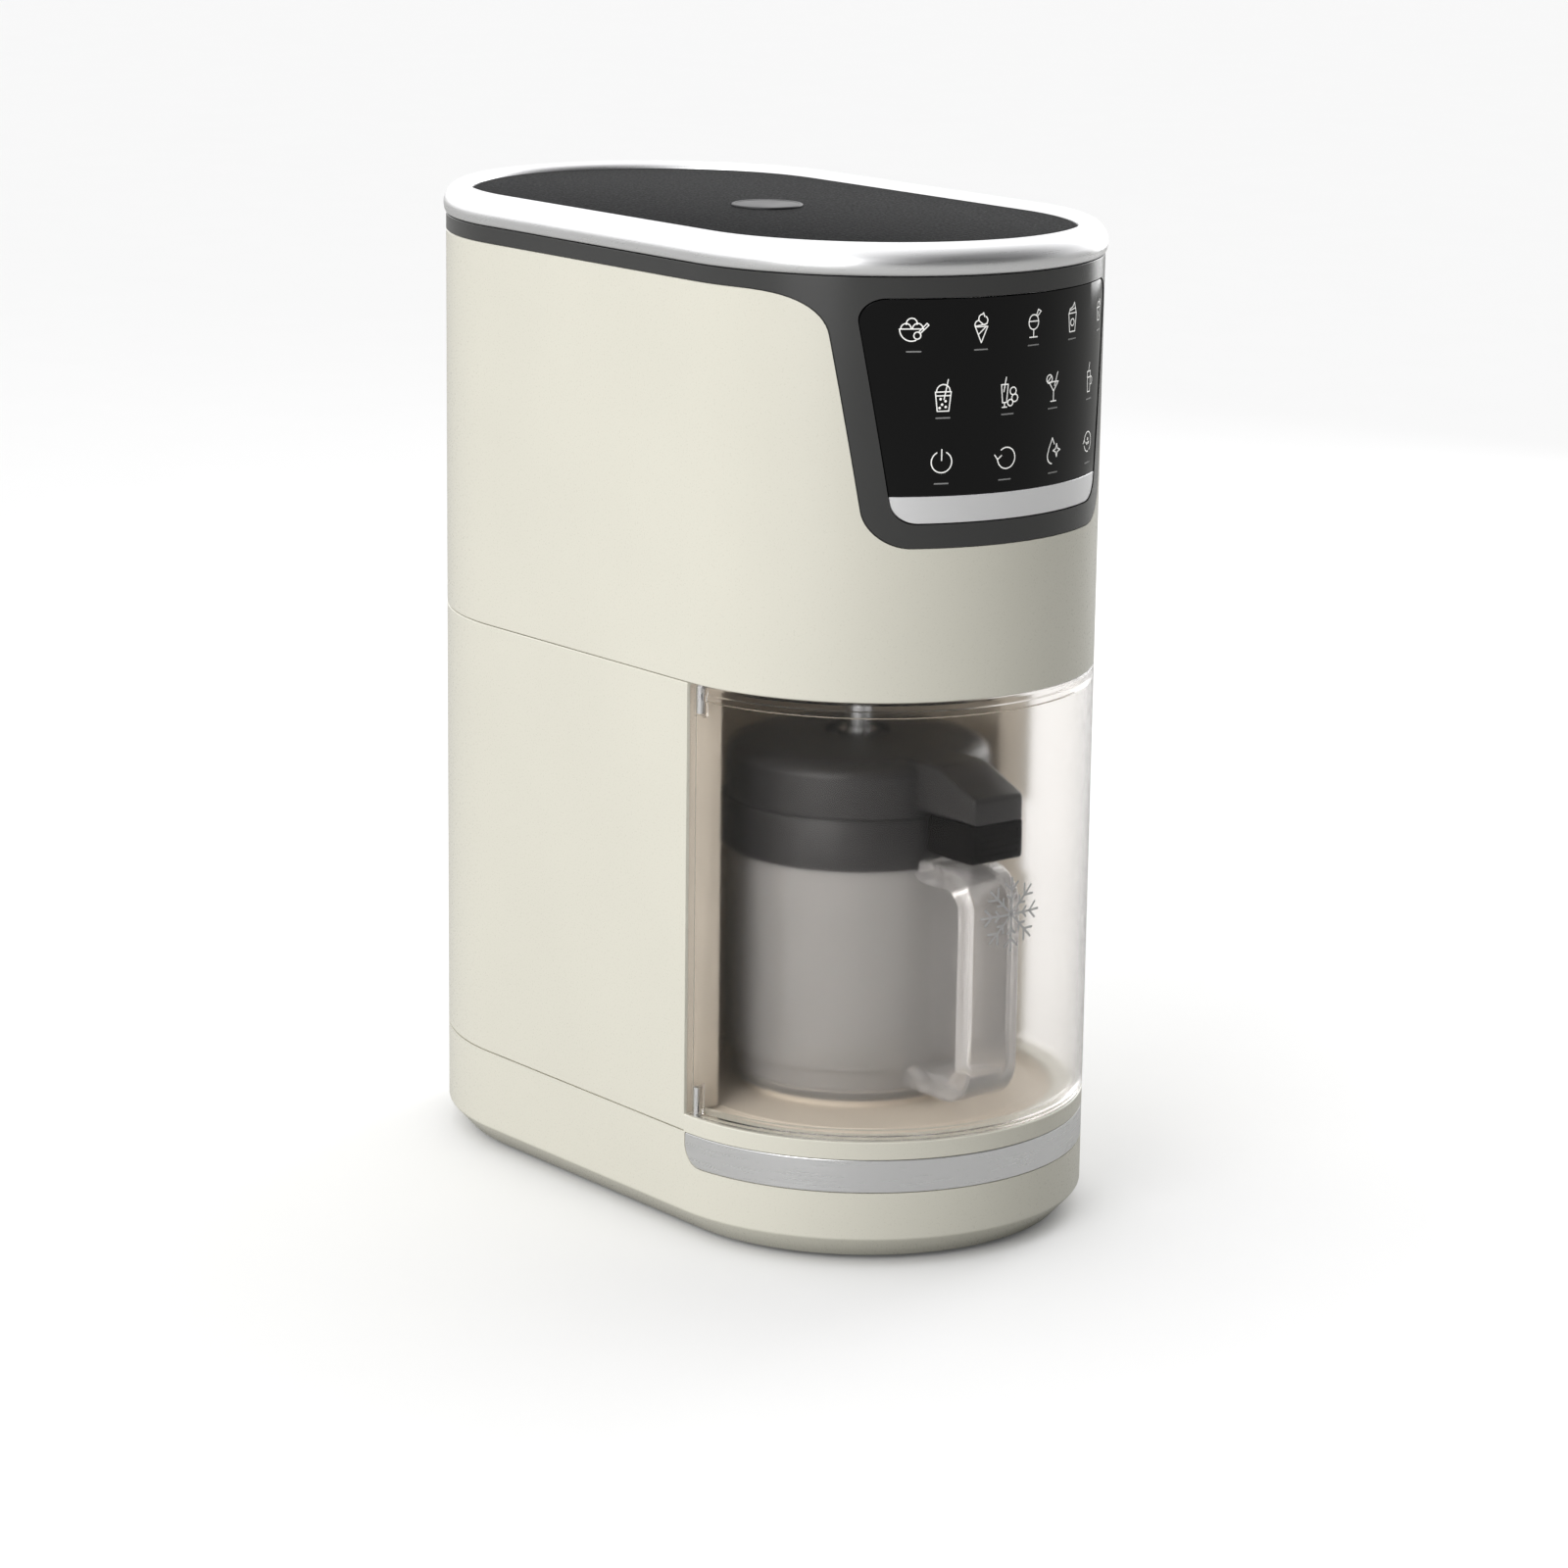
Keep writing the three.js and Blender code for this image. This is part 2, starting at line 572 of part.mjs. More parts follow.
function chamberCeiling() {
  const top = HEAD_BOTTOM + CEILING_THICKNESS;
  const full = track(BODY_INSET + WALL + FIT, HEAD_BOTTOM, top);
  const back = -END_Y + LINER_RADIUS + WALL + 2;
  const spindleHole = rod(BEARING_RADIUS, HEAD_BOTTOM - 1, top + 1, 0, BOWL_Y, SHAFT_STEPS);
  const pinHole = rod(PIN_RADIUS + FIT, HEAD_BOTTOM - 1, top + 1, HINGE_X, HINGE_Y, SHAFT_STEPS);
  return cut(full, behind(back), spindleHole, pinHole);
}

function spindleSeal() {
  const top = HEAD_BOTTOM + CEILING_THICKNESS;
  return ring(BEARING_RADIUS - FIT, SPINDLE_RADIUS + FIT, HEAD_BOTTOM, top, 0, BOWL_Y, SHAFT_STEPS);
}

// ---------------------------------------------------------------- door
function doorShell() {
  const wall = ring(BODY_RADIUS, DOOR_INNER, DOOR_BOTTOM, DOOR_TOP, 0, -END_Y, 2 * ARC_STEPS);
  const ribInner = DOOR_INNER - DOOR_RIB;
  const rib = (z) => ring(DOOR_INNER + 0.5, ribInner, z, z + DOOR_RIB_HEIGHT, 0, -END_Y, 2 * ARC_STEPS);
  const lowRib = rib(DOOR_BOTTOM + 1);
  const highRib = rib(DOOR_TOP - DOOR_RIB_DROP - DOOR_RIB_HEIGHT);
  const front = cut(join(wall, lowRib, highRib), behind(-END_Y - DOOR_EDGE));
  const knuckle = (z) => rod(KNUCKLE_RADIUS, z, z + KNUCKLE_LENGTH, HINGE_X, HINGE_Y, SHAFT_STEPS);
  const bore = rod(PIN_RADIUS + FIT, 0, HEIGHT, HINGE_X, HINGE_Y, SHAFT_STEPS);
  const knuckles = join(knuckle(DOOR_BOTTOM), knuckle(DOOR_TOP - KNUCKLE_LENGTH));
  const edge = -END_Y - DOOR_EDGE;
  const magnetPad = block(DOOR_INNER - 4.5, DOOR_INNER + 0.6, edge - 9, edge, magnetLow - 2, magnetHigh + 2);
  const magnetPocket = magnetBlock(FIT);
  return cut(join(front, knuckles, magnetPad), bore, magnetPocket);
}

const magnetLow = HEAD_BOTTOM - MAGNET_DROP;
const magnetHigh = magnetLow + MAGNET_SIZE[2];

function magnetBlock(gap) {
  const x = DOOR_INNER - 3.2;
  const back = -END_Y - DOOR_EDGE - 0.2;
  const front = back - MAGNET_SIZE[1];
  const open = gap > 0 ? 1 : 0;
  const right = x + MAGNET_SIZE[0] + gap;
  return block(x - gap, right, front - gap, back + open, magnetLow - gap, magnetHigh + gap);
}

// The steel plate the magnet pulls on, let into the column's edge.
function doorStrike() {
  const x = DOOR_INNER - 3.2;
  const y = -END_Y + 0.7;
  return block(x, x + MAGNET_SIZE[0], y - 0.6, y + WALL - 1, magnetLow, magnetHigh);
}

const hingePin = (z0, z1) => rod(PIN_RADIUS, z0, z1, HINGE_X, HINGE_Y, SHAFT_STEPS);

// ---------------------------------------------------------------- head
// The bezel's apron seen from the front: the band above, sides that lean in, rounded below.
function bezelOutline(gap) {
  const halfTop = BEZEL_HALF_TOP - gap;
  const halfBottom = BEZEL_HALF_BOTTOM - gap;
  const low = RING_BOTTOM - BEZEL_HEIGHT + gap;
  const line = BAND_BOTTOM;
  return roundedOutline([
    [-FAR, HEIGHT, 0],
    [-FAR, line + gap, 0],
    [-halfTop, line + gap, BEZEL_FLARE + gap],
    [-halfBottom, low, BEZEL_CORNER],
    [halfBottom, low, BEZEL_CORNER],
    [halfTop, line + gap, BEZEL_FLARE + gap],
    [FAR, line + gap, 0],
    [FAR, HEIGHT, 0],
  ]);
}

function panelOutline(gap) {
  return roundedOutline([
    [-PANEL_HALF_TOP + gap, PANEL_TOP - gap, PANEL_CORNER_TOP],
    [-PANEL_HALF_BOTTOM + gap, PANEL_BOTTOM + gap, PANEL_CORNER_BOTTOM],
    [PANEL_HALF_BOTTOM - gap, PANEL_BOTTOM + gap, PANEL_CORNER_BOTTOM],
    [PANEL_HALF_TOP - gap, PANEL_TOP - gap, PANEL_CORNER_TOP],
  ]);
}

const atFront = (outline) => frontPlate(outline, -FAR, -END_Y + 20);

function upperHousing() {
  const wall = trackWall(BODY_INSET, BODY_INSET + WALL, HEAD_BOTTOM, BAND_BOTTOM);
  const opening = atFront(bezelOutline(0));
  const pinHole = rod(PIN_RADIUS + FIT, 0, HEAD_BOTTOM + PIN_DEPTH, HINGE_X, HINGE_Y, SHAFT_STEPS);
  const slotLow = HEAD_BOTTOM + 80;
  const slots = [0, 9, 18, 27, 36].map((up) => block(-16, 16, END_Y, FAR, slotLow + up, slotLow + up + 4));
  return cut(wall, opening, pinHole, ...slots);
}

function panelBezel() {
  const wall = trackWall(BODY_INSET, BODY_INSET + WALL, RING_BOTTOM - BEZEL_HEIGHT, RING_BOTTOM - FIT);
  const band = wall.intersect(over(BAND_BOTTOM + FIT));
  const apron = wall.intersect(atFront(bezelOutline(FIT)));
  return cut(join(band, apron), atFront(panelOutline(-FIT)));
}

function panelPiece(low, high) {
  const wall = trackWall(BODY_INSET + PANEL_RECESS, BODY_INSET + WALL + PANEL_RECESS, low, high);
  return wall.intersect(atFront(panelOutline(0)));
}

function topRing() {
  const top = HEIGHT;
  return trackLoft(
    [
      [BODY_INSET + 0.6, RING_BOTTOM],
      [0.5, RING_BOTTOM + 1],
      [0, RING_BOTTOM + 3.4],
      [0.5, RING_BOTTOM + 6.4],
      [2.4, top - 2],
      [5, top - 0.4],
      [7.5, top],
      [RING_WIDTH - 0.6, top - 1],
      [RING_WIDTH, COVER_TOP - 0.4],
      [RING_WIDTH, COVER_TOP - COVER_THICKNESS - FIT],
      [RING_WIDTH + 3, COVER_TOP - COVER_THICKNESS - FIT],
      [RING_WIDTH + 3, RING_BOTTOM],
    ],
    true,
  );
}

const topCover = () => track(RING_WIDTH + FIT, COVER_TOP - COVER_THICKNESS, COVER_TOP);
const topBadge = () => rod(BADGE_RADIUS, COVER_TOP + 0.1, COVER_TOP + 0.8, 0, 0);

// ---------------------------------------------------------------- bowl, pot and lid
function outerBowl() {
  const body = turned(
    [
      [0, BOWL_BOTTOM],
      [COLLAR_RADIUS, BOWL_BOTTOM],
      [COLLAR_RADIUS, BOWL_BOTTOM + COLLAR_HEIGHT],
      [BOWL_RADIUS, BOWL_BOTTOM + COLLAR_HEIGHT + 2],
      [BOWL_RADIUS, BOWL_TOP],
      [0, BOWL_TOP],
    ],
    0, BOWL_Y,
  );
  const hollow = turned(
    [
      [0, BOWL_BOTTOM + BOWL_FLOOR],
      [COLLAR_RADIUS - BOWL_WALL, BOWL_BOTTOM + BOWL_FLOOR],
      [COLLAR_RADIUS - BOWL_WALL, BOWL_BOTTOM + COLLAR_HEIGHT],
      [BOWL_INNER, BOWL_BOTTOM + COLLAR_HEIGHT + 4],
      [BOWL_INNER, BOWL_TOP + 1],
      [0, BOWL_TOP + 1],
    ],
    0, BOWL_Y,
  );
  const handleBottom = HANDLE_TOP - HANDLE_HEIGHT;
  const grip = roundedOutline([
    [HANDLE_FRONT, handleBottom, HANDLE_CORNER],
    [BOWL_Y - BOWL_RADIUS + 5, handleBottom, 0],
    [BOWL_Y - BOWL_RADIUS + 5, HANDLE_TOP, 0],
    [HANDLE_FRONT, HANDLE_TOP, HANDLE_CORNER],
  ]);
  const fingers = roundedOutline([
    [HANDLE_FRONT + HANDLE_BAR, handleBottom + HANDLE_BAR, FINGER_CORNER],
    [BOWL_Y, handleBottom + HANDLE_BAR, 0],
    [BOWL_Y, HANDLE_TOP - HANDLE_BAR, 0],
    [HANDLE_FRONT + HANDLE_BAR, HANDLE_TOP - HANDLE_BAR, FINGER_CORNER],
  ]);
  const bar = sidePlate(grip, -HANDLE_HALF_WIDTH, HANDLE_HALF_WIDTH);
  const gap = cut(sidePlate(fingers, -FAR, FAR), rod(BOWL_RADIUS - 0.5, 0, HEIGHT, 0, BOWL_Y));
  const lidRoom = rod(LID_RADIUS + 3 * FIT, LID_BOTTOM - 2 * FIT, HEIGHT, 0, BOWL_Y);
  const handle = cut(bar, gap, lidRoom);
  const solid = cut(join(body, handle), hollow);
  return solid;
}

function innerPot() {
  const low = POT_FOOT_RADIUS;
  const high = POT_TOP_RADIUS;
  return turned(
    [
      [0, POT_BOTTOM],
      [low, POT_BOTTOM],
      [high, BOWL_TOP],
      [high - POT_WALL, BOWL_TOP],
      [low - POT_WALL, POT_BOTTOM + 2],
      [0, POT_BOTTOM + 2],
    ],
    0, BOWL_Y,
  );
}

function lid() {
  const bandTop = LID_BOTTOM + LID_BAND;
  const ledge = BOWL_TOP + 1.6;
  const inner = LID_INNER - 4.6;
  const shoulder = LID_TOP - 13;
  const shell = turned(
    closed([
      [LID_INNER, LID_BOTTOM],
      [LID_RADIUS, LID_BOTTOM],
      [LID_RADIUS, bandTop - 0.8],
      [LID_RADIUS - 1.5, bandTop],
      [LID_RADIUS - 1.5, LID_TOP - 9],
      [LID_RADIUS - 4.5, LID_TOP - 4.5],
      [LID_RADIUS - 12, LID_TOP - 2],
      [LID_COLLAR + 10, LID_TOP - 0.8],
      [LID_COLLAR + 3, LID_TOP],
      [LID_COLLAR, LID_TOP],
      [LID_COLLAR, LID_TOP - 8],
      [LID_COLLAR + 8, LID_TOP - 8],
      [inner, shoulder],
      [inner, ledge],
      [LID_INNER, ledge],
    ]),
    0, BOWL_Y,
  );
  const hoodLow = LATCH_BOTTOM + LATCH_HEIGHT + FIT;
  const hoodOutline = roundedOutline([
    [HANDLE_FRONT, hoodLow, 0],
    [BOWL_Y - LID_COLLAR - 8, hoodLow, 0],
    [BOWL_Y - LID_COLLAR - 8, LID_TOP - 2.5, 0],
    [HANDLE_FRONT + 22, LID_TOP - HOOD_DROP + 9, 10],
    [HANDLE_FRONT, LID_TOP - HOOD_DROP, 3],
  ]);
  const room = inner + 1.5;
  const roof = LID_TOP - 6.5;
  const hollow = turned(
    [[0, 0], [room, 0], [room, shoulder + 1], [LID_COLLAR + 8, roof], [0, roof]],
    0, BOWL_Y,
  );
  const hoodBlock = sidePlate(hoodOutline, -HANDLE_HALF_WIDTH, HANDLE_HALF_WIDTH);
  return join(shell, cut(hoodBlock, hollow, latchTongue(FIT, LATCH_TRAVEL)));
}

const lidSeal = () =>
  ring(LID_INNER - FIT, LID_INNER - 4.4, BOWL_TOP + 0.2, BOWL_TOP + 1.4, 0, BOWL_Y);

// The rail on top of the latch, which slides in a groove of the hood.
function latchTongue(gap, travel) {
  const top = LATCH_BOTTOM + LATCH_HEIGHT;
  const front = HANDLE_FRONT + 5;
  const back = BOWL_Y - LID_RADIUS - LATCH_TRAVEL - 5;
  return block(-4 - gap, 4 + gap, front - gap, back + gap + travel, top - 1, top + 3 + gap);
}

function lidLatch() {
  const back = BOWL_Y - LID_RADIUS - LATCH_TRAVEL - 1;
  const outline = roundedOutline([
    [HANDLE_FRONT, LATCH_BOTTOM, 2],
    [back, LATCH_BOTTOM, 0],
    [back, LATCH_BOTTOM + LATCH_HEIGHT, 0],
    [HANDLE_FRONT, LATCH_BOTTOM + LATCH_HEIGHT, 1],
  ]);
  return join(sidePlate(outline, -HANDLE_HALF_WIDTH, HANDLE_HALF_WIDTH), latchTongue(0, 0));
}

// ---------------------------------------------------------------- carriage and main drive
function carriageArm() {
  const disc = rod(MOTOR_RADIUS + 4, ARM_BOTTOM, ARM_TOP, 0, MOTOR_Y);
  const nose = rod(ARM_HALF_WIDTH, ARM_BOTTOM, ARM_TOP, 0, BOWL_Y);
  const beam = block(-ARM_HALF_WIDTH, ARM_HALF_WIDTH, BOWL_Y, MOTOR_Y, ARM_BOTTOM, ARM_TOP);
  const crossHalf = ROD_X + BUSH_RADIUS + 3;
  const cross = block(-crossHalf, crossHalf, RODS_Y - 11, RODS_Y + 11, ARM_BOTTOM, ARM_TOP);
  const through = (radius, x, y) => rod(radius, ARM_BOTTOM - 1, ARM_TOP + 1, x, y, SHAFT_STEPS);
  return cut(
    join(disc, nose, beam, cross),
    through(BUSH_RADIUS + FIT, -ROD_X, RODS_Y),
    through(BUSH_RADIUS + FIT, ROD_X, RODS_Y),
    through(SCREW_SHAFT_RADIUS + 1, 0, RODS_Y),
    through(MOTOR_SHAFT_RADIUS + 1, 0, MOTOR_Y),
    through(SPINDLE_RADIUS + 1, 0, BOWL_Y),
  );
}

const guideBush = (x) =>
  ring(BUSH_RADIUS, ROD_RADIUS + FIT, ARM_TOP - BUSH_LENGTH + 6, ARM_TOP + 6, x, RODS_Y, SHAFT_STEPS);

function feedNut() {
  const top = ARM_BOTTOM - FIT;
  return ring(NUT_RADIUS, SCREW_SHAFT_RADIUS + FIT, top - NUT_LENGTH, top, 0, RODS_Y, SHAFT_STEPS);
}

function motorCan() {
  const top = ARM_BOTTOM - FIT;
  const bottom = top - MOTOR_LENGTH;
  const can = ring(MOTOR_RADIUS, MOTOR_RADIUS - MOTOR_CAN_WALL, bottom, top, 0, MOTOR_Y);
  const spider = (z) => {
    const bar = block(-MOTOR_RADIUS + 1, MOTOR_RADIUS - 1, MOTOR_Y - 7, MOTOR_Y + 7, z, z + 4);
    return cut(bar, rod(MOTOR_SHAFT_RADIUS + 1, z - 1, z + 5, 0, MOTOR_Y, SHAFT_STEPS));
  };
  return join(can, spider(bottom), spider(top - 4));
}

function motorRotor() {
  const canBottom = ARM_BOTTOM - FIT - MOTOR_LENGTH;
  const coreLow = canBottom + 12;
  const coreHigh = ARM_BOTTOM - 14;
  return turned(
    [
      [0, canBottom - FAN_HEIGHT - 4],
      [MOTOR_SHAFT_RADIUS, canBottom - FAN_HEIGHT - 4],
      [MOTOR_SHAFT_RADIUS, coreLow],
      [CORE_RADIUS, coreLow],
      [CORE_RADIUS, coreHigh],
      [MOTOR_SHAFT_RADIUS, coreHigh],
      [MOTOR_SHAFT_RADIUS, BELT_TOP + FLANGE + 1],
      [0, BELT_TOP + FLANGE + 1],
    ],
    0, MOTOR_Y, SHAFT_STEPS,
  );
}

function motorFan() {
  const top = ARM_BOTTOM - FIT - MOTOR_LENGTH - 1;
  const bottom = top - FAN_HEIGHT;
  const hub = ring(9, MOTOR_SHAFT_RADIUS + FIT, bottom, top, 0, MOTOR_Y, SHAFT_STEPS);
  const disc = ring(FAN_RADIUS, MOTOR_SHAFT_RADIUS + FIT, bottom, bottom + 1.5, 0, MOTOR_Y);
  const vanes = [];
  for (let i = 0; i < FAN_BLADES; i++) {
    const vane = block(8, FAN_RADIUS - 1, -0.8, 0.8, bottom + 1, top);
    vanes.push(vane.rotate([0, 0, (i * 360) / FAN_BLADES]).translate([0, MOTOR_Y, 0]));
  }
  return join(hub, disc, ...vanes);
}

function pulley(radius, bore, y, steps) {
  const lip = radius + BELT_THICKNESS + 1;
  return turned(
    closed([
      [bore, BELT_BOTTOM - FLANGE],
      [lip, BELT_BOTTOM - FLANGE],
      [lip, BELT_BOTTOM - FIT],
      [radius, BELT_BOTTOM - FIT],
      [radius, BELT_TOP + FIT],
      [lip, BELT_TOP + FIT],
      [lip, BELT_TOP + FLANGE],
      [bore, BELT_TOP + FLANGE],
    ]),
    0, y, steps,
  );
}

// The loop round both pulleys, a given distance off their working faces.
function beltLoop(offset) {
  const front = SPINDLE_PULLEY_RADIUS + offset;
  const rear = MOTOR_PULLEY_RADIUS + offset;
  const span = MOTOR_Y - BOWL_Y;
  const lean = Math.asin((SPINDLE_PULLEY_RADIUS - MOTOR_PULLEY_RADIUS) / span);
  const shape = new THREE.Shape();
  shape.absarc(0, MOTOR_Y, rear, lean, Math.PI - lean, false);
  shape.absarc(0, BOWL_Y, front, Math.PI - lean, 2 * Math.PI + lean, false);
  shape.closePath();
  return shape;
}

const driveBelt = () =>
  cut(
    plate(beltLoop(BELT_GAP + BELT_THICKNESS), BELT_BOTTOM, BELT_TOP),
    plate(beltLoop(BELT_GAP), BELT_BOTTOM - 1, BELT_TOP + 1),
  );

function spindleShaft() {
  const couplingBottom = COUPLING_TOP - COUPLING_LENGTH;
  const shaft = rod(SPINDLE_RADIUS, couplingBottom + 2, BELT_TOP + FLANGE + 1, 0, BOWL_Y, SHAFT_STEPS);
  const coupling = rod(COUPLING_RADIUS, couplingBottom, COUPLING_TOP, 0, BOWL_Y, 6);
  return join(shaft, coupling);
}

function spindleHousing() {
  const top = ARM_BOTTOM - FIT;
  return ring(BEARING_RADIUS + 4, BEARING_RADIUS + FIT, top - HOUSING_LENGTH, top, 0, BOWL_Y, SHAFT_STEPS);
}

const bearing = (z) =>
  ring(BEARING_RADIUS, SPINDLE_RADIUS + FIT, z, z + BEARING_HEIGHT, 0, BOWL_Y, SHAFT_STEPS);

function bladeHub() {
  const socketLow = COUPLING_TOP - COUPLING_LENGTH - FIT;
  const socket = rod(COUPLING_RADIUS + FIT, socketLow, HUB_TOP + 1, 0, BOWL_Y, 6);
  const body = turned(
    [
      [0, HUB_BOTTOM - HUB_STEM_LENGTH + FIT],
      [HUB_STEM_RADIUS, HUB_BOTTOM - HUB_STEM_LENGTH + FIT],
      [HUB_STEM_RADIUS, HUB_BOTTOM + FIT],
      [HUB_RADIUS, HUB_BOTTOM + FIT],
      [HUB_RADIUS, HUB_TOP],
      [0, HUB_TOP],
    ],
    0, BOWL_Y,
  );
  return cut(body, socket);
}

// A two-armed paddle: each arm sweeps back, with three shaving fins under it.
function paddle() {
  const arm = roundedOutline([
    [0, -BLADE_HALF_WIDTH, 0],
    [BLADE_RADIUS - 8, -BLADE_HALF_WIDTH + 3, 0],
    [BLADE_RADIUS - 0.5, 3, 0],
    [BLADE_RADIUS - 6, BLADE_HALF_WIDTH, 3],
    [0, BLADE_HALF_WIDTH, 0],
  ]);
  const flat = plate(arm, BLADE_Z, BLADE_Z + BLADE_THICKNESS, 4);
  const fins = [16, 26, 36].map((x) => block(x - 0.8, x + 0.8, -5, 5, BLADE_Z - FIN_HEIGHT, BLADE_Z + 0.5));
  const half = join(flat, ...fins);
  const boss = rod(HUB_STEM_RADIUS + 4, BLADE_Z, BLADE_Z + BLADE_THICKNESS, 0, 0, SHAFT_STEPS);
  const placed = join(half, half.rotate([0, 0, 180]), boss).translate([0, BOWL_Y, 0]);
  return cut(placed, rod(HUB_STEM_RADIUS + FIT, 0, HEIGHT, 0, BOWL_Y));
}

// ---------------------------------------------------------------- feed
const guideRod = (x) => rod(ROD_RADIUS, FRAME_TOP - 2, RING_BOTTOM - 6, x, RODS_Y, SHAFT_STEPS);
const screwTop = BELT_TOP + 5;

function lowerFrame() {
  const base = block(-ROD_X - 12, ROD_X + 12, RODS_Y - 11, RODS_Y + 14, DECK + FIT, FRAME_TOP);
  const bore = (radius, x) => rod(radius, FRAME_TOP - 2 - FIT, FRAME_TOP + 1, x, RODS_Y, SHAFT_STEPS);
  const rods = [-ROD_X, ROD_X].map((x) => bore(ROD_RADIUS + FIT, x));
  return cut(base, ...rods, bore(SCREW_SHAFT_RADIUS + FIT, 0));
}

function upperBridge() {
  const top = RING_BOTTOM - 4;
  const reach = INNER_RADIUS - FIT;
  const bar = block(-reach, reach, RODS_Y - 10, RODS_Y + 10, top - FRAME_THICKNESS, top);
  const bore = (x) => rod(ROD_RADIUS + FIT, 0, RING_BOTTOM - 6 + FIT, x, RODS_Y, SHAFT_STEPS);
  const bores = [-ROD_X, ROD_X].map(bore);
  const centre = rod(SCREW_SHAFT_RADIUS + FIT, 0, top - 1, 0, RODS_Y, SHAFT_STEPS);
  return cut(bar, ...bores, centre);
}

const leadScrew = () => rod(SCREW_SHAFT_RADIUS, FRAME_TOP - 2, screwTop, 0, RODS_Y, SHAFT_STEPS);

// A spur gear's outline, with flat-sided teeth that taper to their tips.
function gearOutline(teeth, turn) {
  const pitch = (GEAR_MODULE * teeth) / 2;
  const tip = pitch + 0.8 * GEAR_MODULE;
  const root = pitch - 1.15 * GEAR_MODULE;
  const step = (2 * Math.PI) / teeth;
  const shape = new THREE.Shape();
  const corners = [[-0.26, root], [-0.11, tip], [0.11, tip], [0.26, root]];
  for (let i = 0; i < teeth; i++) {
    corners.forEach(([share, radius], k) => {
      const angle = (i + share) * step + turn;
      const x = radius * Math.cos(angle);
      const y = radius * Math.sin(angle);
      if (i === 0 && k === 0) shape.moveTo(x, y);
      else shape.lineTo(x, y);
    });
  }
  shape.closePath();
  return shape;
}

function feedGear() {
  const blank = plate(gearOutline(GEAR_TEETH, 0), GEAR_BOTTOM, GEAR_BOTTOM + GEAR_FACE);
  const bore = rod(SCREW_SHAFT_RADIUS + FIT, 0, HEIGHT, 0, RODS_Y, SHAFT_STEPS);
  return cut(blank.translate([0, RODS_Y, 0]), bore);
}

function feedPinion() {
  const halfTooth = Math.PI / PINION_TEETH;
  const blank = plate(gearOutline(PINION_TEETH, halfTooth), GEAR_BOTTOM, GEAR_BOTTOM + GEAR_FACE);
  const shaft = rod(2, GEAR_BOTTOM + 1, GEAR_BOTTOM + GEAR_FACE + 8, 0, 0, SHAFT_STEPS);
  return join(blank, shaft).translate([PINION_X, RODS_Y, 0]);
}

function feedMotor() {
  const low = GEAR_BOTTOM + GEAR_FACE + 2;
  const can = rod(FEED_MOTOR_RADIUS, low, low + FEED_MOTOR_LENGTH, PINION_X, RODS_Y, SHAFT_STEPS);
  const tab = block(PINION_X + 4, PINION_X + 19, RODS_Y + 8, RODS_Y + 12, FRAME_TOP + FIT, low + 6);
  return cut(join(can, tab), rod(2 + FIT, 0, low + 9, PINION_X, RODS_Y, SHAFT_STEPS));
}

// ---------------------------------------------------------------- boards
function controlBoard() {
  const [wide, high] = CONTROL_BOARD_SIZE;
  const middle = (PANEL_TOP + PANEL_BOTTOM) / 2 + 3;
  const chord = Math.sqrt((INNER_RADIUS - CONTROL_BOARD_GAP) ** 2 - (wide / 2) ** 2);
  const front = -END_Y - chord;
  const low = middle - high / 2;
  const sheet = block(-wide / 2, wide / 2, front, front + BOARD_THICKNESS, low, low + high);
  const chip = block(-9, 9, front + 1, front + BOARD_THICKNESS + 2.5, middle - 9, middle + 9);
  const plug = block(20, 38, front + 1, front + BOARD_THICKNESS + 6, middle - 24, middle - 16);
  return join(sheet, chip, plug);
}

function powerBoard() {
  const [wide, high] = POWER_BOARD_SIZE;
  const low = DECK + FIT;
  const sheet = block(-wide / 2, wide / 2, POWER_BOARD_Y, POWER_BOARD_Y + BOARD_THICKNESS, low, low + high);
  const relay = block(-30, -12, POWER_BOARD_Y - 14, POWER_BOARD_Y + 0.5, low + 8, low + 26);
  const choke = block(4, 28, POWER_BOARD_Y - 12, POWER_BOARD_Y + 0.5, low + 8, low + 30);
  const sink = block(-26, 26, POWER_BOARD_Y - 4, POWER_BOARD_Y + 0.5, low + 44, low + 66);
  return join(sheet, relay, choke, sink);
}

// ---------------------------------------------------------------- materials and assembly
const finish = (color, roughness, metalness = 0) =>
  new THREE.MeshStandardMaterial({ color, roughness, metalness });
const cream = finish(0xe3e0d2, 0.38);
const silver = finish(0xc9c9cb, 0.28, 0.9);
const gunmetal = finish(0x3d3d3c, 0.3, 0.1);
const gloss = finish(0x060606, 0.08);
const leather = finish(0x2b2c2e, 0.75);
const rubber = finish(0x1c1c1c, 0.9);
const beige = finish(0xa89886, 0.55);
const seeThrough = (color, roughness, opacity) =>
  new THREE.MeshStandardMaterial({ color, roughness, transparent: true, opacity });
const smoked = seeThrough(0xb8b2aa, 0.1, 0.35);
const smokedBowl = seeThrough(0x77747a, 0.2, 0.6);
const potPlastic = finish(0xb7b6b8, 0.45);
const darkPlastic = finish(0x39393c, 0.5);
const blackPlastic = finish(0x121212, 0.45);
const steel = finish(0xb9bbbd, 0.3, 1);
const brass = finish(0xb7954c, 0.35, 1);
const castAluminium = finish(0x9fa1a4, 0.5, 0.8);
const copper = finish(0x7a4a2c, 0.5, 0.6);
const board = finish(0x1f4d33, 0.6);
const whitePlastic = finish(0xd8d8d4, 0.5);

const machine = new THREE.Group();

// A group whose origin is at the pivot of the pieces that move together, in world coordinates.
function movingGroup(parent, x, y, z) {
  const group = new THREE.Group();
  parent.updateWorldMatrix(true, false);
  group.position.copy(parent.worldToLocal(new THREE.Vector3(x, y, z)));
  parent.add(group);
  return group;
}

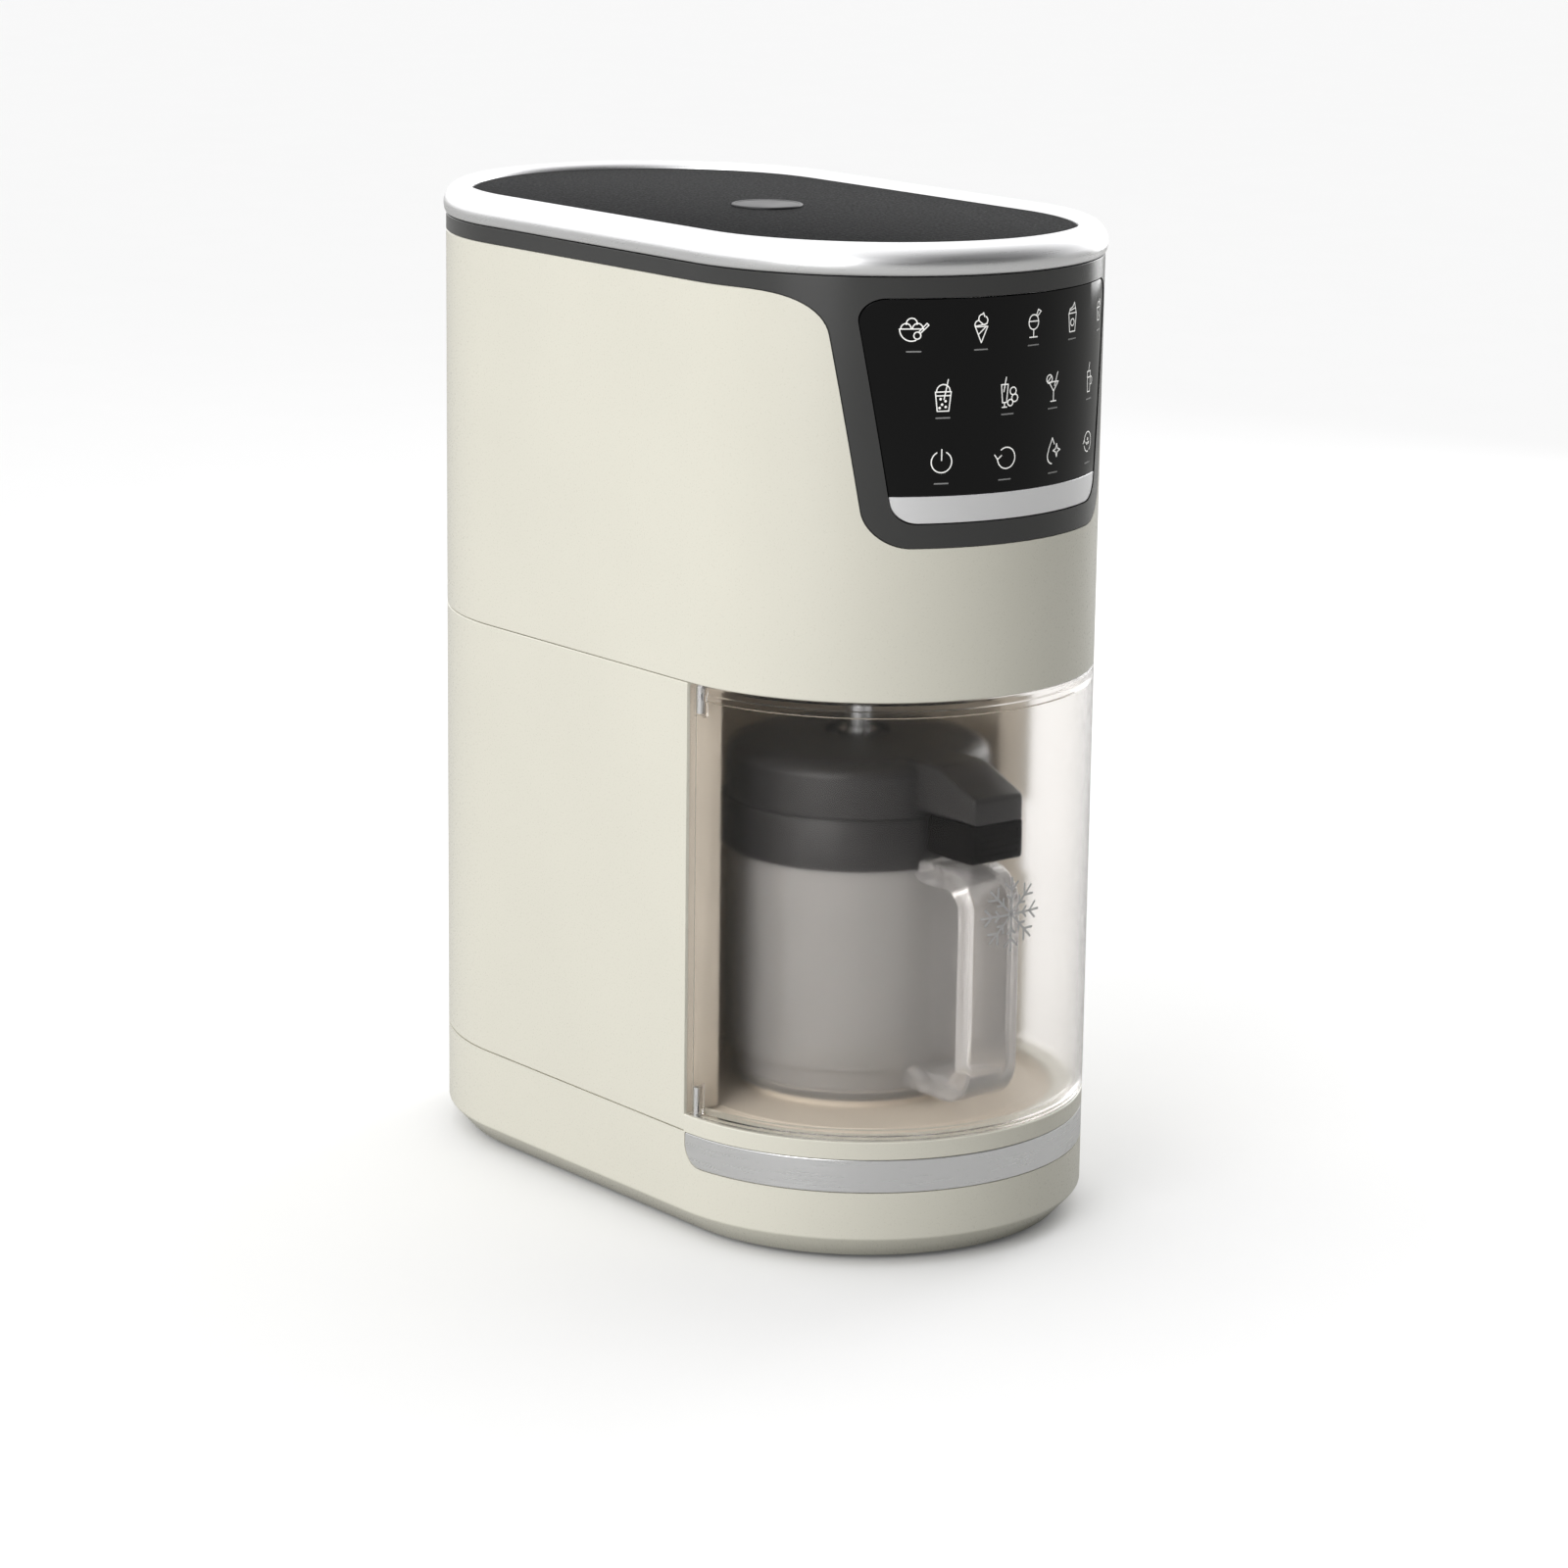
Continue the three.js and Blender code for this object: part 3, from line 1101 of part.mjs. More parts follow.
function add(group, name, solid, material) {
  const pivot = group.getWorldPosition(new THREE.Vector3());
  const local = solid.translate([-pivot.x, -pivot.y, -pivot.z]);
  const mesh = new THREE.Mesh(geometryOf(local), material);
  mesh.name = name;
  group.add(mesh);
}

const door = movingGroup(machine, HINGE_X, HINGE_Y, RIM);
const bowl = movingGroup(machine, 0, BOWL_Y, RIM);
const cover = movingGroup(bowl, 0, BOWL_Y, BOWL_TOP);
const latch = movingGroup(cover, 0, HANDLE_FRONT, LATCH_BOTTOM);
const carriage = movingGroup(machine, 0, RODS_Y, ARM_BOTTOM);
const rotor = movingGroup(carriage, 0, MOTOR_Y, ARM_BOTTOM);
const spindle = movingGroup(carriage, 0, BOWL_Y, ARM_BOTTOM);
const screw = movingGroup(machine, 0, RODS_Y, FRAME_TOP);
const pinion = movingGroup(machine, PINION_X, RODS_Y, GEAR_BOTTOM);

add(machine, "base_housing", baseHousing(), cream);
add(machine, "base_plate", basePlate(), darkPlastic);
for (const [place, x, y] of footPlaces) add(machine, "foot_" + place, foot(x, y), rubber);
for (const [place, x, y] of screwPlaces) add(machine, "base_screw_" + place, baseScrew(x, y), steel);
add(machine, "base_trim_band", trimBand(), silver);
add(machine, "chamber_floor", chamberFloor(), beige);
add(machine, "cord_gland", cordGland(), rubber);
add(machine, "column_shell", columnShell(), cream);
add(machine, "chamber_liner", chamberLiner(), beige);
add(machine, "chamber_ceiling", chamberCeiling(), beige);
add(machine, "spindle_seal", spindleSeal(), rubber);
add(machine, "upper_housing", upperHousing(), cream);
add(machine, "panel_bezel", panelBezel(), gunmetal);
add(machine, "touch_panel", panelPiece(PANEL_BOTTOM + STRIP_HEIGHT + FIT, PANEL_TOP), gloss);
add(machine, "panel_strip", panelPiece(PANEL_BOTTOM, PANEL_BOTTOM + STRIP_HEIGHT), silver);
add(machine, "control_board", controlBoard(), board);
add(machine, "power_board", powerBoard(), board);
add(machine, "top_ring", topRing(), silver);
add(machine, "top_cover", topCover(), leather);
add(machine, "top_badge", topBadge(), silver);
add(machine, "door_strike", doorStrike(), steel);
add(machine, "hinge_pin_lower", hingePin(RIM - PIN_DEPTH, DOOR_BOTTOM + KNUCKLE_LENGTH - 1), steel);
const upperPin = hingePin(DOOR_TOP - KNUCKLE_LENGTH + 1, HEAD_BOTTOM + PIN_DEPTH - FIT);
add(machine, "hinge_pin_upper", upperPin, steel);
add(machine, "guide_rod_left", guideRod(-ROD_X), steel);
add(machine, "guide_rod_right", guideRod(ROD_X), steel);
add(machine, "lower_frame", lowerFrame(), castAluminium);
add(machine, "upper_bridge", upperBridge(), castAluminium);
add(machine, "feed_motor", feedMotor(), steel);

add(door, "door", doorShell(), smoked);
add(door, "door_magnet", magnetBlock(0), steel);

add(bowl, "outer_bowl", outerBowl(), smokedBowl);
add(bowl, "inner_pot", innerPot(), potPlastic);
add(cover, "lid", lid(), darkPlastic);
add(cover, "lid_seal", lidSeal(), rubber);
add(latch, "lid_latch", lidLatch(), blackPlastic);

add(carriage, "carriage_arm", carriageArm(), castAluminium);
add(carriage, "guide_bush_left", guideBush(-ROD_X), brass);
add(carriage, "guide_bush_right", guideBush(ROD_X), brass);
add(carriage, "feed_nut", feedNut(), brass);
add(carriage, "motor_can", motorCan(), steel);
add(carriage, "drive_belt", driveBelt(), rubber);
add(carriage, "spindle_housing", spindleHousing(), castAluminium);
add(carriage, "spindle_bearing_upper", bearing(ARM_BOTTOM - 2 * FIT - BEARING_HEIGHT), steel);
add(carriage, "spindle_bearing_lower", bearing(ARM_BOTTOM - HOUSING_LENGTH), steel);

add(rotor, "motor_rotor", motorRotor(), copper);
add(rotor, "motor_fan", motorFan(), blackPlastic);
const motorPulley = pulley(MOTOR_PULLEY_RADIUS, MOTOR_SHAFT_RADIUS + FIT, MOTOR_Y, SHAFT_STEPS);
add(rotor, "motor_pulley", motorPulley, castAluminium);

const spindlePulley = pulley(SPINDLE_PULLEY_RADIUS, SPINDLE_RADIUS + FIT, BOWL_Y, ROUND_STEPS);
add(spindle, "spindle_pulley", spindlePulley, castAluminium);
add(spindle, "spindle_shaft", spindleShaft(), steel);
add(spindle, "blade_hub", bladeHub(), blackPlastic);
add(spindle, "blade", paddle(), steel);

add(screw, "lead_screw", leadScrew(), steel);
add(screw, "feed_gear", feedGear(), whitePlastic);
add(pinion, "feed_pinion", feedPinion(), whitePlastic);

export default machine;
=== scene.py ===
"""The looks of the ice cream maker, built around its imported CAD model. Metres, +Z up, front at -Y."""
import bmesh
import bpy
import json
import math
from mathutils import Matrix, Vector


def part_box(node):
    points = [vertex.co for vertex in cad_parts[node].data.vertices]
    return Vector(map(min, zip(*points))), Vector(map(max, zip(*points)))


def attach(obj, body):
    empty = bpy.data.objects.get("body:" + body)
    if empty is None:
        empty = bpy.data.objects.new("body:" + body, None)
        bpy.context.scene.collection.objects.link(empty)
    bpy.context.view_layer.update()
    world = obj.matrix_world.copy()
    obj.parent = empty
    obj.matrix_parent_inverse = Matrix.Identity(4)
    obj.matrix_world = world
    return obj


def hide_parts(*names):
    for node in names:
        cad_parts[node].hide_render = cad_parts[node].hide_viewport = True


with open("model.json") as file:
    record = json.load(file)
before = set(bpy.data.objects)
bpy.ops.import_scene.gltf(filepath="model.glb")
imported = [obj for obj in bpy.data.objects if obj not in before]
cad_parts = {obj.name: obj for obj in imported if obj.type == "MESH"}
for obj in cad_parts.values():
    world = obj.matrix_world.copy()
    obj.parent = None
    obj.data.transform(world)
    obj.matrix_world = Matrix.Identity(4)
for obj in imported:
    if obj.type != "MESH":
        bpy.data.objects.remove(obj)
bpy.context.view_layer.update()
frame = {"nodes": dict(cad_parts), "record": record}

MM = 0.001
ARC = 72  # facets on each half-round end
EDGE = 0.35 * MM  # rounding on moulded edges
GAP = 0.3 * MM  # clearance that the CAD model leaves between neighbours
FAR = 0.3  # beyond every piece, for the ends of cutters


# ------------------------------------------------------------------ sizes read from the CAD model
def low(node):
    return Vector(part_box(node)[0])


def high(node):
    return Vector(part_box(node)[1])


BODY_R = high("base_housing").x
END_Y = high("base_housing").y - BODY_R
FRONT_Y = -END_Y
RING_R = high("top_ring").x
WALL = BODY_R - high("chamber_ceiling").x - GAP
DECK = low("column_shell").z - GAP
RIM = high("base_housing").z
HEAD = low("upper_housing").z
BOWL_Y = (low("outer_bowl").x + high("outer_bowl").x) / 2 + high("outer_bowl").y - high("outer_bowl").x
BOWL_R = high("outer_bowl").x
PANEL_R = BODY_R - GAP
SPLIT_Y = low("column_shell").y


# ------------------------------------------------------------------ mesh helpers
def new_object(name, bm):
    bmesh.ops.recalc_face_normals(bm, faces=bm.faces)
    mesh = bpy.data.meshes.new(name)
    bm.to_mesh(mesh)
    bm.free()
    obj = bpy.data.objects.new(name, mesh)
    bpy.context.scene.collection.objects.link(obj)
    return obj


def apply_modifiers(obj):
    graph = bpy.context.evaluated_depsgraph_get()
    mesh = bpy.data.meshes.new_from_object(obj.evaluated_get(graph))
    old = obj.data
    obj.modifiers.clear()
    obj.data = mesh
    bpy.data.meshes.remove(old)
    return obj


def boolean(obj, others, operation="DIFFERENCE"):
    for other in others:
        modifier = obj.modifiers.new("cut", "BOOLEAN")
        modifier.operation = operation
        modifier.solver = "EXACT"
        modifier.object = other
        apply_modifiers(obj)
    for other in others:
        mesh = other.data
        bpy.data.objects.remove(other)
        bpy.data.meshes.remove(mesh)
    return obj


def bevel(obj, width, angle=50, segments=2):
    modifier = obj.modifiers.new("bevel", "BEVEL")
    modifier.width = width
    modifier.segments = segments
    modifier.limit_method = "ANGLE"
    modifier.angle_limit = math.radians(angle)
    modifier.use_clamp_overlap = True
    return apply_modifiers(obj)


def smooth(obj, angle=32):
    bm = bmesh.new()
    bm.from_mesh(obj.data)
    for face in bm.faces:
        face.smooth = True
    limit = math.radians(angle)
    for edge in bm.edges:
        edge.smooth = len(edge.link_faces) == 2 and edge.calc_face_angle(math.pi) < limit
    bm.to_mesh(obj.data)
    bm.free()
    return obj


def wall_normals(obj, centre_y=None):
    """Gives upright curved walls the normals of their true round, whatever cuts cross them."""
    smooth(obj)
    mesh = obj.data
    normals = []
    for poly in mesh.polygons:
        for i in poly.loop_indices:
            place = mesh.vertices[mesh.loops[i].vertex_index].co
            middle = centre_y
            if middle is None:
                middle = max(-END_Y, min(END_Y, place.y))
            radial = Vector((place.x, place.y - middle, 0))
            true = radial.normalized() if radial.length > 1e-6 else poly.normal
            side = true.dot(poly.normal)
            if abs(side) > 0.985:
                normals.append(true * math.copysign(1, side))
            else:
                normals.append(mesh.corner_normals[i].vector.copy())
    mesh.normals_split_custom_set(normals)
    return obj


def stadium(radius, z, n=ARC):
    points = []
    for side in (1, -1):
        for i in range(n + 1):
            a = math.pi * i / n
            points.append((side * radius * math.cos(a), side * (END_Y + radius * math.sin(a)), z))
    return points


def circle(radius, z, y=0.0, x=0.0, n=96):
    turn = 2 * math.pi / n
    return [(x + radius * math.cos(i * turn), y + radius * math.sin(i * turn), z) for i in range(n)]


def loft(name, rings, tube=False):
    """Joins rings of points. A tube closes on its first ring, and anything else gets flat ends."""
    bm = bmesh.new()
    made = [[bm.verts.new(p) for p in ring] for ring in rings]
    count = len(made[0])
    pairs = list(zip(made, made[1:])) + ([(made[-1], made[0])] if tube else [])
    for a, b in pairs:
        for i in range(count):
            j = (i + 1) % count
            bm.faces.new((a[i], a[j], b[j], b[i]))
    if not tube:
        bm.faces.new(made[0][::-1])
        bm.faces.new(made[-1])
    return new_object(name, bm)


def stadium_loft(name, profile, tube=False, n=ARC):
    return loft(name, [stadium(r, z, n) for r, z in profile], tube)


def stadium_wall(name, outer, inner, z0, z1, edge=EDGE):
    profile = [(inner, z0), (outer - edge, z0), (outer, z0 + edge)]
    profile += [(outer, z1 - edge), (outer - edge, z1), (inner, z1)]
    return stadium_loft(name, profile, tube=True)


def lathe(name, profile, y, x=0.0, n=96, tube=False):
    """Turns [radius, z] points about an upright axis. A tube closes on itself."""
    return loft(name, [circle(r, z, y, x, n) for r, z in profile], tube)


def arc_piece(name, profile, a0, a1, y, n):
    """Sweeps a closed [radius, z] outline round an upright axis between two angles."""
    bm = bmesh.new()
    rings = []
    for i in range(n + 1):
        a = a0 + (a1 - a0) * i / n
        rings.append([bm.verts.new((r * math.cos(a), y + r * math.sin(a), z)) for r, z in profile])
    count = len(profile)
    for a, b in zip(rings, rings[1:]):
        for i in range(count):
            j = (i + 1) % count
            bm.faces.new((a[i], a[j], b[j], b[i]))
    bm.faces.new(rings[0])
    bm.faces.new(rings[-1][::-1])
    return new_object(name, bm)


def block(name, x0, x1, y0, y1, z0, z1):
    bm = bmesh.new()
    bmesh.ops.create_cube(bm, size=1)
    for v in bm.verts:
        v.co.x = (x0 + x1) / 2 + v.co.x * (x1 - x0)
        v.co.y = (y0 + y1) / 2 + v.co.y * (y1 - y0)
        v.co.z = (z0 + z1) / 2 + v.co.z * (z1 - z0)
    return new_object(name, bm)


def rounded(corners, n=8):
    """A polygon with rounded corners. Each corner is (x, z, radius)."""
    points = []
    count = len(corners)
    for i, (x, z, r) in enumerate(corners):
        here = Vector((x, z))
        if r <= 0:
            points.append(here)
            continue
        back = (Vector(corners[i - 1][:2]) - here).normalized()
        ahead = (Vector(corners[(i + 1) % count][:2]) - here).normalized()
        half = back.angle(ahead) / 2
        start = here + back * (r / math.tan(half))
        end = here + ahead * (r / math.tan(half))
        centre = here + (back + ahead).normalized() * (r / math.sin(half))
        a0 = math.atan2(start.y - centre.y, start.x - centre.x)
        a1 = math.atan2(end.y - centre.y, end.x - centre.x)
        sweep = (a1 - a0 + math.pi) % (2 * math.pi) - math.pi
        for k in range(n + 1):
            a = a0 + sweep * k / n
            points.append(centre + Vector((math.cos(a), math.sin(a))) * r)
    return points


def prism(name, outline, axis, a, b):
    """Pushes a flat outline along an axis. It is in X and Z for axis y, and in Y and Z for axis x."""
    bm = bmesh.new()
    ends = []
    for depth in (a, b):
        if axis == "y":
            ends.append([bm.verts.new((p[0], depth, p[1])) for p in outline])
        else:
            ends.append([bm.verts.new((depth, p[0], p[1])) for p in outline])
    count = len(outline)
    for i in range(count):
        j = (i + 1) % count
        bm.faces.new((ends[0][i], ends[0][j], ends[1][j], ends[1][i]))
    bm.faces.new(ends[0][::-1])
    bm.faces.new(ends[1])
    return new_object(name, bm)


def soft_prism(name, outline, axis, a, b, edge, flare=False):
    """A prism with rounded rims. The outline is a function of the inset. Flared, it cuts a rounded hole."""
    bm = bmesh.new()
    sign = -1 if flare else 1
    turns = [k * math.pi / 6 for k in range(4)]
    steps = [(edge * (1 - math.sin(t)), edge * (1 - math.cos(t))) for t in turns]
    sections = [(a + depth, sign * inset) for inset, depth in steps]
    sections += [(b - depth, sign * inset) for inset, depth in reversed(steps)]
    if flare:
        sections = [(a - 0.02, -edge)] + sections + [(b + 0.02, -edge)]
    rings = []
    for depth, inset in sections:
        points = outline(inset)
        if axis == "y":
            rings.append([bm.verts.new((p[0], depth, p[1])) for p in points])
        else:
            rings.append([bm.verts.new((depth, p[0], p[1])) for p in points])
    count = len(rings[0])
    for first, second in zip(rings, rings[1:]):
        for i in range(count):
            j = (i + 1) % count
            bm.faces.new((first[i], first[j], second[j], second[i]))
    bm.faces.new(rings[0][::-1])
    bm.faces.new(rings[-1])
    return new_object(name, bm)


def join(name, objects):
    """Puts several meshes into one piece, without welding them."""
    bm = bmesh.new()
    for obj in objects:
        bm.from_mesh(obj.data)
    for obj in objects:
        bpy.data.objects.remove(obj)
    return new_object(name, bm)


# ------------------------------------------------------------------ materials
def node(tree, kind, **settings):
    made = tree.nodes.new(kind)
    for key, value in settings.items():
        if key in made.inputs:
            made.inputs[key].default_value = value
        else:
            setattr(made, key, value)
    return made


def coordinates(tree, scale=(1, 1, 1)):
    source = node(tree, "ShaderNodeTexCoord")
    mapping = node(tree, "ShaderNodeMapping")
    mapping.inputs["Scale"].default_value = scale
    tree.links.new(source.outputs["Object"], mapping.inputs["Vector"])
    return mapping.outputs["Vector"]


def noise(tree, scale, stretch=(1, 1, 1), detail=3.0):
    made = node(tree, "ShaderNodeTexNoise")
    made.inputs["Scale"].default_value = scale
    made.inputs["Detail"].default_value = detail
    tree.links.new(coordinates(tree, stretch), made.inputs["Vector"])
    return made.outputs["Fac"]


def spread(tree, value, a, b):
    made = node(tree, "ShaderNodeMapRange")
    made.inputs["From Min"].default_value = 0.3
    made.inputs["From Max"].default_value = 0.7
    made.inputs["To Min"].default_value = a
    made.inputs["To Max"].default_value = b
    tree.links.new(value, made.inputs["Value"])
    return made.outputs["Result"]


def shade(color, factor):
    return tuple(min(1.0, c * factor) for c in color[:3]) + (1.0,)


def surface(name, color, roughness, metallic=0.0, grain=900.0, bump=0.04, streaks=None, vary=0.05, **sockets):
    """A shader whose colour and roughness drift a little, with fine grain or brushed streaks in its bump."""
    mat = bpy.data.materials.new(name)
    mat.use_nodes = True
    tree = mat.node_tree
    shader = tree.nodes["Principled BSDF"]
    shader.inputs["Metallic"].default_value = metallic
    for key, value in sockets.items():
        shader.inputs[key.replace("_", " ")].default_value = value
    drift = noise(tree, 14.0)
    ramp = node(tree, "ShaderNodeValToRGB")
    ramp.color_ramp.elements[0].position = 0.3
    ramp.color_ramp.elements[1].position = 0.7
    ramp.color_ramp.elements[0].color = shade(color, 1 - vary)
    ramp.color_ramp.elements[1].color = shade(color, 1 + vary)
    tree.links.new(drift, ramp.inputs["Fac"])
    tree.links.new(ramp.outputs["Color"], shader.inputs["Base Color"])
    fine = noise(tree, 1.0 if streaks else grain, streaks or (1, 1, 1), 4.0)
    tree.links.new(spread(tree, fine, roughness * 0.86, roughness * 1.14), shader.inputs["Roughness"])
    if bump:
        bumped = node(tree, "ShaderNodeBump")
        bumped.inputs["Strength"].default_value = bump
        bumped.inputs["Distance"].default_value = 0.0004
        tree.links.new(fine, bumped.inputs["Height"])
        tree.links.new(bumped.outputs["Normal"], shader.inputs["Normal"])
    return mat


def leather(name, color):
    """Fine pebbled grain: cells with raised middles, over a slow drift of colour."""
    mat = surface(name, color, 0.66, bump=0.0, vary=0.12, Specular_IOR_Level=0.06)
    tree = mat.node_tree
    shader = tree.nodes["Principled BSDF"]
    cells = node(tree, "ShaderNodeTexVoronoi")
    cells.inputs["Scale"].default_value = 720.0
    tree.links.new(coordinates(tree), cells.inputs["Vector"])
    bumped = node(tree, "ShaderNodeBump", invert=True)
    bumped.inputs["Strength"].default_value = 0.55
    bumped.inputs["Distance"].default_value = 0.0006
    tree.links.new(cells.outputs["Distance"], bumped.inputs["Height"])
    tree.links.new(bumped.outputs["Normal"], shader.inputs["Normal"])
    return mat


def clear(name, color, roughness, ior, shadow, haze=0.0, streaks=(30, 30, 9), bump=0.05, coat=0.7):
    """See-through plastic with faint moulding ripples. Lamps shine through it as a thin tinted sheet."""
    see_through = {"Transmission_Weight": 1.0 - haze, "IOR": ior, "Coat_Weight": coat}
    mat = surface(name, color, roughness, bump=0.0, vary=0.02, **see_through)
    tree = mat.node_tree
    shader = tree.nodes["Principled BSDF"]
    shader.inputs["Coat Roughness"].default_value = 0.05
    ripple = noise(tree, 1.0, streaks, 2.0)
    bumped = node(tree, "ShaderNodeBump")
    bumped.inputs["Strength"].default_value = bump
    bumped.inputs["Distance"].default_value = 0.0005
    tree.links.new(ripple, bumped.inputs["Height"])
    tree.links.new(bumped.outputs["Normal"], shader.inputs["Normal"])
    sheet = node(tree, "ShaderNodeBsdfTransparent")
    sheet.inputs["Color"].default_value = (shadow, shadow, shadow, 1)
    path = node(tree, "ShaderNodeLightPath")
    mix = node(tree, "ShaderNodeMixShader")
    tree.links.new(path.outputs["Is Shadow Ray"], mix.inputs["Fac"])
    tree.links.new(shader.outputs["BSDF"], mix.inputs[1])
    tree.links.new(sheet.outputs["BSDF"], mix.inputs[2])
    tree.links.new(mix.outputs["Shader"], tree.nodes["Material Output"].inputs["Surface"])
    return mat


CREAM = (0.745, 0.725, 0.63)
cream = surface(
    "cream_plastic", CREAM, 0.3, grain=1400, bump=0.03, vary=0.015,
    Coat_Weight=0.25, Coat_Roughness=0.12
)
silver = surface("silver_trim", (0.9, 0.9, 0.91), 0.3, 0.9, streaks=(40, 40, 1500), bump=0.03, vary=0.02)
strip_silver = surface(
    "silver_strip", (0.93, 0.93, 0.94), 0.42, 0.5,
    streaks=(60, 60, 2600), bump=0.04, vary=0.02
)
gunmetal = surface("gunmetal_plastic", (0.045, 0.045, 0.0445), 0.24, grain=1800, bump=0.02)
gloss = surface("gloss_black", (0.003, 0.003, 0.0032), 0.08, grain=60, bump=0.004, Specular_IOR_Level=0.25)
grain_black = leather("textured_black", (0.008, 0.0083, 0.009))
badge_grey = surface(
    "badge_satin", (0.085, 0.085, 0.087), 0.42, 0.9,
    streaks=(60, 60, 60), bump=0.04, vary=0.02
)
latch_black = surface(
    "latch_black", (0.003, 0.0025, 0.0025), 0.6,
    grain=1600, bump=0.04, Specular_IOR_Level=0.05
)
rubber = surface("black_rubber", (0.018, 0.018, 0.018), 0.75, grain=500, bump=0.2)
beige = surface("beige_plastic", (0.74, 0.665, 0.56), 0.42, grain=1200, bump=0.03, vary=0.02)
door_clear = clear("smoked_clear", (0.95, 0.935, 0.92), 0.22, 1.12, 0.86, coat=0.12)
bowl_clear = clear("smoked_bowl", (0.72, 0.705, 0.695), 0.16, 1.25, 0.5, 0.22, (90, 90, 4), 0.4)
pot_grey = surface("grey_plastic", (0.4, 0.39, 0.38), 0.38, grain=900, bump=0.03)
dark = surface("dark_plastic", (0.02, 0.019, 0.0193), 0.42, grain=2600, bump=0.02, Specular_IOR_Level=0.35)
black = surface("black_plastic", (0.014, 0.014, 0.015), 0.34, grain=1100, bump=0.06)
white = surface("white_plastic", (0.7, 0.7, 0.67), 0.4, grain=900, bump=0.05)
steel = surface("steel", (0.56, 0.57, 0.58), 0.26, 1.0, streaks=(500, 500, 60), bump=0.05)
cast = surface("cast_aluminium", (0.44, 0.45, 0.47), 0.48, 0.9, grain=420, bump=0.35)
brass = surface("brass", (0.62, 0.44, 0.16), 0.3, 1.0, streaks=(90, 90, 900), bump=0.05)
copper = surface("copper_core", (0.42, 0.17, 0.07), 0.35, 0.9, streaks=(30, 30, 2400), bump=0.5, vary=0.15)
circuit = surface("circuit_board", (0.02, 0.11, 0.05), 0.35, streaks=(260, 260, 260), bump=0.25, vary=0.3)
# The icon print glows with an emission of 0.35, a painted glow that keeps it bright white whatever light
# falls on it
print_white_painted_glow = surface("printed_white_painted_glow", (0.82, 0.82, 0.8), 0.5, grain=2000, bump=0.0, Emission_Strength=0.35)
print_white_painted_glow.node_tree.nodes["Principled BSDF"].inputs["Emission Color"].default_value = (1, 1, 0.98, 1)
print_grey = surface("printed_grey", (0.3, 0.3, 0.3), 0.5, grain=2000, bump=0.0)
frosted = surface("frosted_print", (0.5, 0.5, 0.5), 0.6, grain=2000, bump=0.0, Alpha=0.85)


def place(obj, mat, body, slot, *nodes):
    obj.data.materials.clear()
    obj.data.materials.append(mat)
    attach(obj, body)
    if nodes:
        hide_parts(*nodes)
    return obj


# ------------------------------------------------------------------ base
FOOT_Z = low("base_housing").z
TRIM_LOW = low("base_trim_band").z - GAP
CHAMFER = 8.3 * MM


def base_shell():
    foot_r = BODY_R - CHAMFER
    chamfer_top = FOOT_Z + 8.6 * MM
    profile = [(foot_r - 3 * MM, FOOT_Z), (foot_r, FOOT_Z)]
    profile += [(foot_r + 0.5 * MM, FOOT_Z + 0.25 * MM), (BODY_R - 0.5 * MM, chamfer_top - 0.45 * MM)]
    profile += [(BODY_R - 0.12 * MM, chamfer_top + 0.1 * MM), (BODY_R, chamfer_top + 0.6 * MM)]
    profile += [(BODY_R, RIM - EDGE), (BODY_R - EDGE, RIM)]
    body = stadium_loft("base_shell", profile)
    liner_r = high("chamber_floor").x + 1.7 * MM
    keep = lathe("keep", [(liner_r, DECK - 0.02), (liner_r, RIM + 0.02)], FRONT_Y)
    step = block("step", -0.2, 0.2, SPLIT_Y, 0.3, DECK, RIM + 0.01)
    boolean(step, [keep])
    pocket = trim_cutter("pocket", 0.0)
    floor_r = high("chamber_floor").x + GAP
    tray = lathe("tray", [(floor_r, RIM - 3 * MM), (floor_r, RIM + 0.01)], FRONT_Y)
    under = stadium_loft("under", [(foot_r - 3 * MM, FOOT_Z - 0.01), (foot_r - 3 * MM, FOOT_Z + 4 * MM)])
    notches = [
        block(
            "notch", s * BODY_R - 5 * MM, s * BODY_R + 5 * MM,
            END_Y - 13 * MM, END_Y - 9 * MM, -0.01, FOOT_Z + 1.5 * MM,
        )
        for s in (-1, 1)
    ]
    near, far = low("cord_gland"), high("cord_gland")
    gland = block("gland_hole", near.x - GAP, far.x + GAP, near.y - GAP, FAR, near.z - GAP, far.z + GAP)
    boolean(body, [step, pocket, tray, under, gland] + notches)
    return wall_normals(body)


def trim_cutter(name, gap):
    """The seat of the silver band: a half-round shell 1.5 mm deep with rounded lower rear corners."""
    top = high("base_trim_band").z + GAP - gap
    back = high("base_trim_band").y + GAP - gap
    bottom = TRIM_LOW + gap
    outline = rounded([(-0.3, bottom, 0), (back, bottom, 9 * MM), (back, top, 0.8 * MM), (-0.3, top, 0)])
    side = prism(name, outline, "x", -0.3, 0.3)
    core = stadium_loft("core", [(BODY_R - 1.5 * MM + gap, 0), (BODY_R - 1.5 * MM + gap, 0.1)])
    return boolean(side, [core])


def trim_band():
    e = 0.3 * MM
    z0 = TRIM_LOW - 2 * MM
    z1 = DECK + 2 * MM
    inside = BODY_R - 1.2 * MM
    band = stadium_loft("band", [(inside, z0), (BODY_R, z0), (BODY_R, z1), (inside, z1)], tube=True)
    outline = rounded(
        [
            (-0.3, TRIM_LOW + e, 0),
            (high("base_trim_band").y, TRIM_LOW + e, 9 * MM - e),
            (high("base_trim_band").y, high("base_trim_band").z, 0.8 * MM),
            (-0.3, high("base_trim_band").z, 0),
        ]
    )
    boolean(band, [prism("side", outline, "x", -0.3, 0.3)], "INTERSECT")
    band.name = "trim_band"
    return wall_normals(bevel(band, 0.25 * MM, 60))


